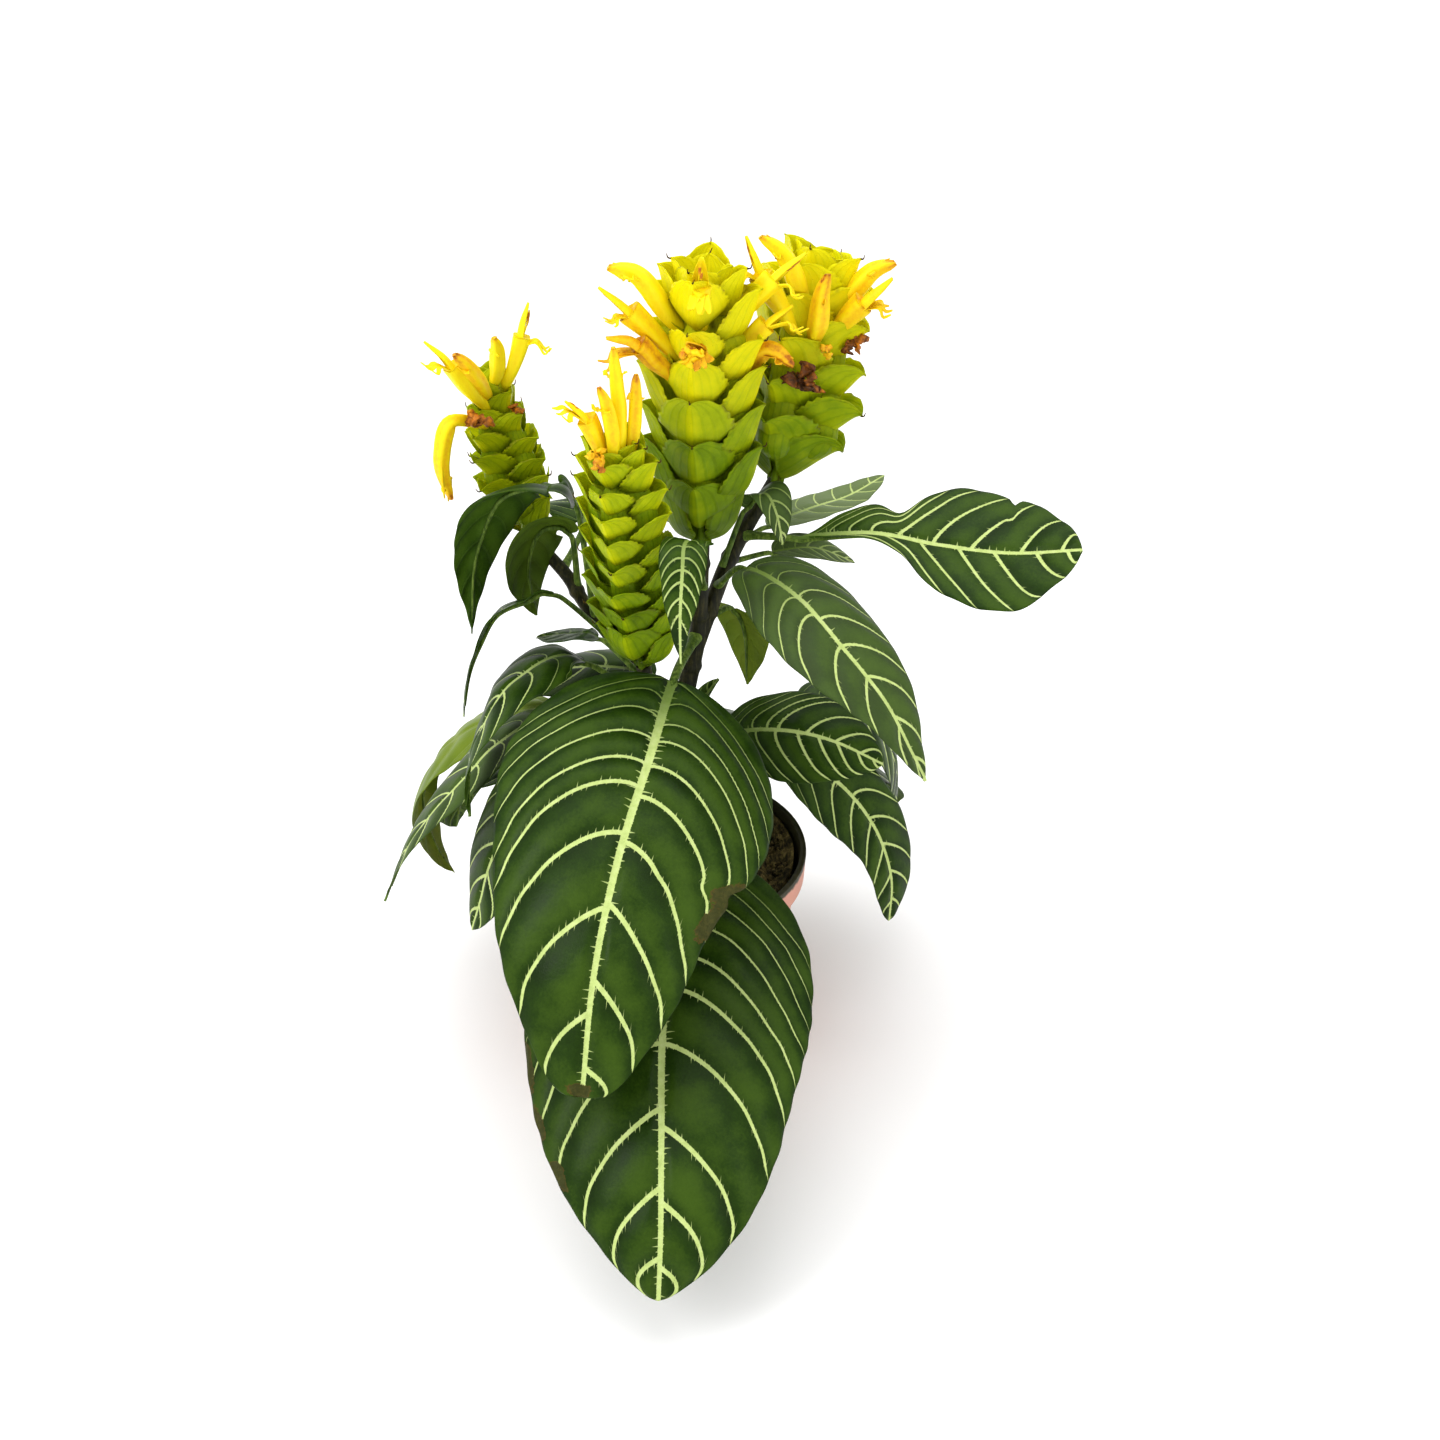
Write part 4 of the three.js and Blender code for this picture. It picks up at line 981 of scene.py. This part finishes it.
def add_bract(shape, at, on, across, up, angle, reach, length, openness, tone, rng):
    """A scale folded along its keel, which leans out from the axis and turns its pointed tip outwards."""
    rise = np.linspace(0, 1, BRACT_ROWS)
    c = np.linspace(-1, 1, BRACT_COLUMNS)
    angle = angle + rng.uniform(-0.1, 0.1)
    away = across * math.cos(angle) + up * math.sin(angle)
    beside = np.cross(on, away)

    def keel(closed, opened):
        shut, wide = np.interp(rise, BRACT_RISE, closed), np.interp(rise, BRACT_RISE, opened)
        course = shut * (1 - openness) + wide * openness
        return np.convolve(np.pad(course, 2, mode="edge"), np.ones(5) / 5, "valid")

    out = BRACT_ROOT + (reach - BRACT_ROOT) * keel(CLOSED_OUT, OPEN_OUT)
    rises = length * keel(CLOSED_UP, OPEN_UP)
    lean = unit(np.stack([-np.gradient(rises), np.gradient(out)], -1))
    tooth = (rise * BRACT_TEETH) % 1
    notch = 0.09 * (tooth - 0.5) * smooth(rise, 0.3, 0.5) * (1 - smooth(rise, 0.93, 1))
    margin = np.abs(c) ** 6
    half = length * BRACT_BROAD * np.interp(rise, BRACT_RISE, BRACT_WIDTH)[:, None]
    half = half * (1 + notch[:, None] * margin) * rng.uniform(0.92, 1.08)
    fold = BRACT_FOLD + rng.uniform(-0.1, 0.1)
    side = half * c * math.cos(fold)
    stand = half * (np.sqrt(c ** 2 + 0.015) - 0.12) * math.sin(fold) * (1 + 0.15 * c ** 2)
    stand = stand + 0.5 * wobble(rng.random(), rise[:, None] * 7, 4 * c) * (0.4 + np.abs(c))
    radius = np.maximum(out[:, None] + stand * lean[:, :1], 1.5)
    height = rises[:, None] + stand * lean[:, 1:]
    points = at + on * height[..., None] + away * radius[..., None] + beside * side[..., None]
    normal = unit(np.cross(np.gradient(points, axis=1), np.gradient(points, axis=0)))
    normal = normal * np.sign((normal @ away).sum())
    # Painted highlight: the tone is raised along the keel, so the keel shows as a yellower line.
    keel_highlight = tone + 0.16 * np.exp(-(c / 0.22) ** 2)
    values = np.stack(np.broadcast_arrays(keel_highlight, c, rise[:, None]), -1).reshape(-1, 3)
    shape.add_sheet(points, normal, BRACT_THICKNESS * (1 - 0.6 * margin) + 0 * radius, bract=values)
    if rng.random() < HOOKED:
        tip = points[-1, BRACT_COLUMNS // 2]
        aside = beside * rng.uniform(-1.2, 1.2)
        hook = Route([tip - away * 0.6, tip + away * 0.9 + on * 0.4 + aside * 0.3,
                      tip + away * 1.4 + on * 2.1 + aside])
        centre, _, level, above = hook.frames(np.linspace(0, 1, 7), on)
        points, faces = tube(centre, level, above, np.linspace(0.42, 0.18, 7), 6)
        shape.add(points, faces, bract=np.tile([HOOK_TONE, 0, 1], (len(points), 1)))


def make_spike(node, foot, tip, reach, per_rank, turn, bract, openness, tone, core):
    rng = random.Random(node)
    foot, tip = np.array(foot, float), np.array(tip, float)
    on = unit(tip - foot)
    across = unit(np.array([1.0, 0, 0]) - on * on[0])
    up = np.cross(across, on)
    length = np.linalg.norm(tip - foot)
    levels = per_rank * 2
    shape = Shape("bract")

    # The insides, ridged behind the ranks of bracts.
    share = np.linspace(0, 0.97, CORE_RINGS)
    radii = core + (CORE_TIP_RADIUS - core) * share
    full = smooth(share, 0.03, 0.2) * (1 - smooth(share, 0.75, 0.95))
    radii = np.maximum(radii, spread(share, reach) * FILLING * full)
    angle = around(CORE_SIDES) - np.radians(turn + share * levels * RANK_TWIST)[:, None]
    radii = radii[:, None] * (1 + FILLING_RIDGE * np.cos(4 * angle))
    ways = [np.tile(way, (CORE_RINGS, 1)) for way in (across, up)]
    points, faces = tube(foot + on * (share * length)[:, None], *ways, radii, CORE_SIDES)
    # The insides are 0.1 less ripe in tone, and their along value of 0.4 gives them part of the painted shade
    # at a bract's foot.
    inside = np.concatenate([np.repeat(tone[0] + (tone[1] - tone[0]) * share, CORE_SIDES), tone]) - 0.1
    beside = np.concatenate([np.sin(2 * angle).ravel(), [0, 0]])
    shape.add(points, faces, bract=np.stack([inside, beside, 0 * inside + 0.4], -1))

    for level in range(levels + CROWN_LEVELS):
        share = level / levels * 0.86 + 0.01
        size = 1 - 0.2 * share
        out = spread(min(share + 0.1, 1), reach)
        opened = np.interp(share, [0.05, 0.6], openness)
        if level >= levels:
            inward = (level - levels + 1) / (CROWN_LEVELS + 1)
            share = 0.8 + 0.1 * inward
            out, size, opened = out * (1 - 0.5 * inward), size * (1 - 0.3 * inward), 0.15
        for side in range(2):
            angle = math.radians(turn + level * (90 + RANK_TWIST) + side * 180)
            ripe = tone[0] + (tone[1] - tone[0]) * smooth(share, 0.05, 0.7) + rng.uniform(-0.06, 0.06)
            add_bract(shape, foot + on * share * length, on, across, up, angle, out,
                      bract * size * rng.uniform(0.92, 1.1), opened + rng.uniform(-0.14, 0.14), ripe, rng)
    shape.make(node + "_bracts", [BRACT], node)


# ---- flowers

# The flowers of each spike: the route from the axis outwards, the tip of the lower lip if there is one,
# and the age from 0, fresh, to 1, withered.
FLOWERS = {
    "flower_centre": [
        ([[6, -2, 362], [-3, -6, 376], [-12, -10, 391], [-24, -12, 399]], None, 0.08),
        ([[5, -4, 352], [-6, -9, 366], [-15, -14, 377], [-28, -16, 390]], [-23, -17, 375], 0.2),
        ([[5, -5, 342], [-6, -12, 356], [-15, -16, 367], [-26, -18, 370]], [-25, -18, 356], 0.38),
        ([[12, -6, 366], [12, -13, 378], [11, -18, 389], [12, -19, 403]], [11, -26, 384], 0.1),
        ([[11, -8, 350], [11, -16, 360], [10, -23, 366], [6, -28, 372]], [13, -28, 362], 0.4),
        ([[17, 2, 356], [27, 5, 370], [39, 4, 384], [53, 8, 395]], [49, 0, 379], 0.05),
        ([[17, 0, 346], [28, 0, 358], [39, 0, 369], [48, 3, 375]], [50, -4, 366], 0.15),
        ([[18, 2, 334], [29, 3, 346], [38, 0, 357], [50, -4, 354]], None, 0.36),
    ],
    "flower_right": [
        ([[52, 24, 350], [44, 17, 368], [36, 11, 383], [30, 10, 401]], [25, 8, 383], 0.1),
        ([[56, 32, 360], [51, 22, 376], [46, 18, 388], [37, 18, 400]], None, 0.1),
        ([[62, 36, 350], [72, 31, 366], [81, 30, 378], [90, 30, 385]], None, 0.2),
        ([[60, 34, 340], [71, 24, 360], [81, 20, 372], [89, 20, 380]], [87, 20, 365], 0.25),
        ([[57, 30, 344], [59, 16, 360], [60, 15, 372], [60, 16, 383]], None, 0.25),
    ],
    "flower_left": [
        ([[-79, 26, 318], [-86, 12, 334], [-93, 6, 350], [-101, 4, 359]], [-99, 2, 347], 0.08),
        ([[-79, 28, 322], [-81, 16, 334], [-85, 8, 346], [-88, 4, 355]], None, 0.25),
        ([[-79, 30, 326], [-75, 24, 336], [-74, 22, 346], [-73, 20, 355]], None, 0.05),
        ([[-76, 32, 322], [-69, 26, 336], [-64, 26, 351], [-61, 28, 366]], [-54, 26, 345], 0.02),
        ([[-80, 24, 312], [-93, 6, 322], [-98, 2, 307], [-97, 2, 288]], None, 0.22),
    ],
    "flower_front": [
        ([[-25, -42, 322], [-31, -47, 344], [-35, -50, 353], [-40, -52, 358]], [-42, -54, 353], 0.2),
        ([[-23, -43, 322], [-23, -46, 340], [-25, -48, 356], [-26, -48, 363]], None, 0.2),
        ([[-21, -42, 324], [-20, -42, 343], [-21, -42, 360], [-22, -44, 378]], None, 0.1),
        ([[-18, -40, 322], [-15, -39, 338], [-14, -37, 352], [-14, -36, 363]], None, 0.24),
    ],
}
LARGE, SMALL = 1.25, 1.05  # sizes of the flowers on the two big spikes and on the two small ones
# Radii of the tube where it is open and where the hooded lip closes it, along the whole flower.
TUBE_SHARE = [0, 0.25, 0.5, 0.68, 0.8, 0.92, 1]
OPEN_RADIUS = [1.6, 2.1, 2.8, 3.3, 2.8, 1.6, 0.7]
HOOD_RADIUS = [1.6, 2.3, 2.8, 2.7, 2.3, 1.7, 0.7]
OPEN_END, HOOD_END = 0.7, 0.99
PETAL_CREASES = 4
PETAL_THICKNESS = 0.4
HOOD_WIDTHS = np.array([3.3, 4.1, 3.7, 2.7, 1])
LOBE_WIDTHS = np.array([1.8, 2, 1.5, 1.3, 0.5])
WITHERS = 0.28  # the age from which a flower shrinks and crinkles
ANTHER = [0.45, 0.6, 0.55, 0.2]
ANTHER_AGE = 0.6  # anthers are as dark as a petal of this age


def aged(*ages):
    """The values for the petal material of points with the given ages."""
    ages = np.concatenate(ages)
    return np.stack([ages, 0 * ages, 0 * ages], -1)


def add_strip(shape, route, widths, cup, age, level):
    """A petal lobe along a route, cupped across."""
    rows, columns = 18, 9
    share = np.linspace(0, 1, rows)
    centre, _, across, up = Route(route).frames(share, level)
    half = spread(share, widths)[:, None]
    angle = cup * np.linspace(-1, 1, columns)
    x = half * np.sin(angle) / abs(cup)
    z = half * (1 - np.cos(angle)) / cup
    points = centre[:, None] + across[:, None] * x[..., None] + up[:, None] * z[..., None]
    shape.add_sheet(points, np.repeat(up[:, None], columns, 1), np.full((rows, columns), PETAL_THICKNESS),
                    petal=aged(np.full(rows * columns, age)))


def make_flower(node, route, lip, age):
    """A curved tube that widens to a mouth, with a hooded upper lip and a lower lip of three lobes."""
    rng = random.Random(node)
    curve = Route(route)
    shape = Shape("petal")
    size = LARGE if node.startswith(("flower_centre", "flower_right")) else SMALL
    withered = max(age - WITHERS, 0) * 1.4
    hooded = lip is None
    if hooded:
        lip = curve.at(0.84) + np.array([rng.uniform(-2, 2), rng.uniform(-3, 0), -3.5])
    lip = np.array(lip, float)
    ahead = curve.way(0.7)
    away = unit(lip - route[2])
    level = unit(np.cross(away, curve.way(0.75)))

    share = np.linspace(0, HOOD_END if hooded else OPEN_END, 40)
    centre, on, across, up = curve.frames(share, level)
    centre = centre + across * (withered * 3 * np.sin(share * 9 + age * 20))[:, None]
    if hooded:
        hook = unit(away - on[-1] * (away @ on[-1]))
        centre = centre + hook * (3 * size * smooth(share, 0.7, 1.1) ** 1.5)[:, None]
    radii = HOOD_RADIUS if hooded else OPEN_RADIUS
    radii = size * np.interp(share, TUBE_SHARE, radii) * (1 - 0.45 * withered)
    sides = 18
    angle = around(sides)
    crinkle = 1 + (0.03 + 0.6 * withered) * wobble(node, share[:, None] * 16, angle * 2, count=6)
    crease = 0.14 * np.cos(PETAL_CREASES * angle + 2 * share[:, None] + rng.uniform(0, 6))
    crease = crease * smooth(share, 0.1, 0.5)[:, None]
    points, faces = tube(centre, across, up, radii[:, None] * (crinkle + crease), sides, 1.15)
    worn = 0.14 * share ** 2 + (0.2 * smooth(share, 0.88, 1) if hooded else 0)
    # Painted shade: the valleys between the creases are made darker; worn makes the mouth, and a hood's tip,
    # older.
    shade = age + worn[:, None] - 0.6 * crease
    shape.add(points, faces, petal=aged(shade.ravel(), [age, age + 0.25]))

    start = curve.at(0.6)
    down = unit(lip - start)
    reach = np.linalg.norm(lip - start)
    if not hooded:
        hood = [start - down * 2, curve.at(0.82) - down * 2, np.array(route[3], float)]
        add_strip(shape, hood, HOOD_WIDTHS * size, -1.45, age + 0.02, level)
    for place in (-0.5, 0.0, 0.5):
        end = start + down * reach * (1.02 - 0.15 * abs(place)) + level * place * reach * 0.8
        bow = start + down * 0.55 * reach + level * place * reach * 0.35 + ahead * 0.3 * reach
        curl = end + (down * 0.25 + ahead * rng.uniform(-0.1, 0.5)) * reach * 0.6
        add_strip(shape, [start + down, bow, end, curl], LOBE_WIDTHS * size, 0.6, age + 0.06, level)
    for stop, offset in ((0.94, 0.9), (0.88, -0.7)):
        span = np.linspace(0.55, stop, 14)
        centre, _, across, up = curve.frames(span, level)
        centre = centre + across * offset * 0.5 + down * 1.4 * smooth(span, 0.55, stop)[:, None]
        radii = np.full(14, 0.25)
        radii[-len(ANTHER):] = ANTHER
        points, faces = tube(centre, across, up, radii, 8)
        dark = np.repeat(np.where(radii > 0.3, ANTHER_AGE, age), 8)
        shape.add(points, faces, petal=aged(dark, [age, ANTHER_AGE]))
    shape.make(node + "_corolla", [PETAL], node)


# Clumps of shrunken flowers: the middle, the half size, how many and their age.
WITHERED = [
    ([53, 6, 341], 7, 9, 0.82), ([75, 23, 350], 5, 6, 0.75), ([-85, 9, 321], 6, 7, 0.68),
    ([-68, 25, 320], 4, 5, 0.66), ([-27, -54, 335], 5, 6, 0.5), ([7, -26, 367], 5, 6, 0.4),
    ([61, 14, 350], 4, 4, 0.5),
]


def make_withered():
    """Crumpled tubes that still cling between the bracts."""
    rng = random.Random(5)
    shape = Shape("petal")
    for middle, size, count, age in WITHERED:
        for _ in range(count):
            route = [np.array([middle[k] + rng.uniform(-0.35, 0.35) * size for k in range(3)])]
            for _ in range(3):
                step = [rng.uniform(-0.6, 0.6), rng.uniform(-0.4, 0.4), rng.uniform(-0.5, 0.4)]
                route.append(route[-1] + np.array(step) * size)
            level = unit(np.array([rng.uniform(-1, 1), rng.uniform(-1, 1), 0.4]))
            share = np.linspace(0, 1, 22)
            centre, _, across, up = Route(route).frames(share, level)
            sides = 12
            radii = 0.4 * size * np.interp(share, [0, 0.4, 0.8, 1], [0.5, 1, 0.7, 0.2])
            crinkle = 1 + 0.5 * wobble(rng.random(), share[:, None] * 12, around(sides) * 2, count=6)
            points, faces = tube(centre, across, up, radii[:, None] * crinkle, sides, 0.5)
            shape.add(points, faces, petal=aged(np.full(len(points), age + rng.uniform(-0.12, 0.12))))
    shape.make("withered_flowers", [PETAL])


# ---- the plant

make_pot()
make_mix()
for stem in STEMS:
    make_stem(*stem)
for leaf, spec in LEAVES.items():
    make_leaf(leaf, **spec)
for spike in SPIKES:
    make_spike(**spike)
for group, flowers in FLOWERS.items():
    for number, flower in enumerate(flowers, 1):
        make_flower(f"{group}_{number}", *flower)
make_withered()


# ---- floor, light and camera

FLOOR = [(-8, -4, 0), (8, -4, 0), (8, 12, 0), (-8, 12, 0)]  # its corners in metres
FLOOR_SHADES = (0.93, 0.93, 0.93, 1), (0.95, 0.95, 0.95, 1)
LIGHT_AIM = (0, 0, 0.25)
# The softboxes: name, place in metres and power in watts.
SOFTBOXES = [("softbox_left", (-1.0, -0.7, 1.3), 12), ("softbox_right", (1.1, -0.9, 1.2), 3)]
SOFTBOX_SIZE = 0.8
KEY_POWER, KEY_SPREAD, KEY_TURN = 1.65, math.radians(60), (math.radians(-11), math.radians(2), 0)
WORLD_STRENGTH = 0.86
CAMERA_PLACE, CAMERA_DOWN, CAMERA_LENS, CAMERA_SENSOR = (0.019, -0.760, 0.678), math.radians(33.4), 50, 36

mesh = bpy.data.meshes.new("floor")
mesh.from_pydata(FLOOR, [], [(0, 1, 2, 3)])
look = Look("floor_white", 0.9, 0.2)
mesh.materials.append(look.finish(look.shade(look.noise(look.place(), 400.0), *FLOOR_SHADES)))
floor = put("floor", mesh)

sun = bpy.data.lights.new("key", "SUN")
sun.energy = KEY_POWER
sun.angle = KEY_SPREAD
put("key", sun).rotation_euler = KEY_TURN
for name, place, watts in SOFTBOXES:
    light = bpy.data.lights.new(name, "AREA")
    light.shape = "DISK"
    light.size = SOFTBOX_SIZE
    light.energy = watts
    lamp = put(name, light)
    lamp.location = place
    way = np.array(LIGHT_AIM, float) - place
    tilt = math.atan2(math.hypot(way[0], way[1]), -way[2])
    lamp.rotation_euler = (tilt, 0, math.atan2(way[1], way[0]) - math.pi / 2)

world = bpy.data.worlds.new("studio")
world.use_nodes = True
background = world.node_tree.nodes["Background"].inputs
background["Color"].default_value = (1, 1, 1, 1)
background["Strength"].default_value = WORLD_STRENGTH
bpy.context.scene.world = world
bpy.context.scene.view_settings.view_transform = "Standard"

camera = put("camera", bpy.data.cameras.new("camera"))
camera.data.lens = CAMERA_LENS
camera.data.sensor_width = CAMERA_SENSOR
camera.location = CAMERA_PLACE
camera.rotation_euler = (math.pi / 2 - CAMERA_DOWN, 0, 0)
bpy.context.scene.camera = camera
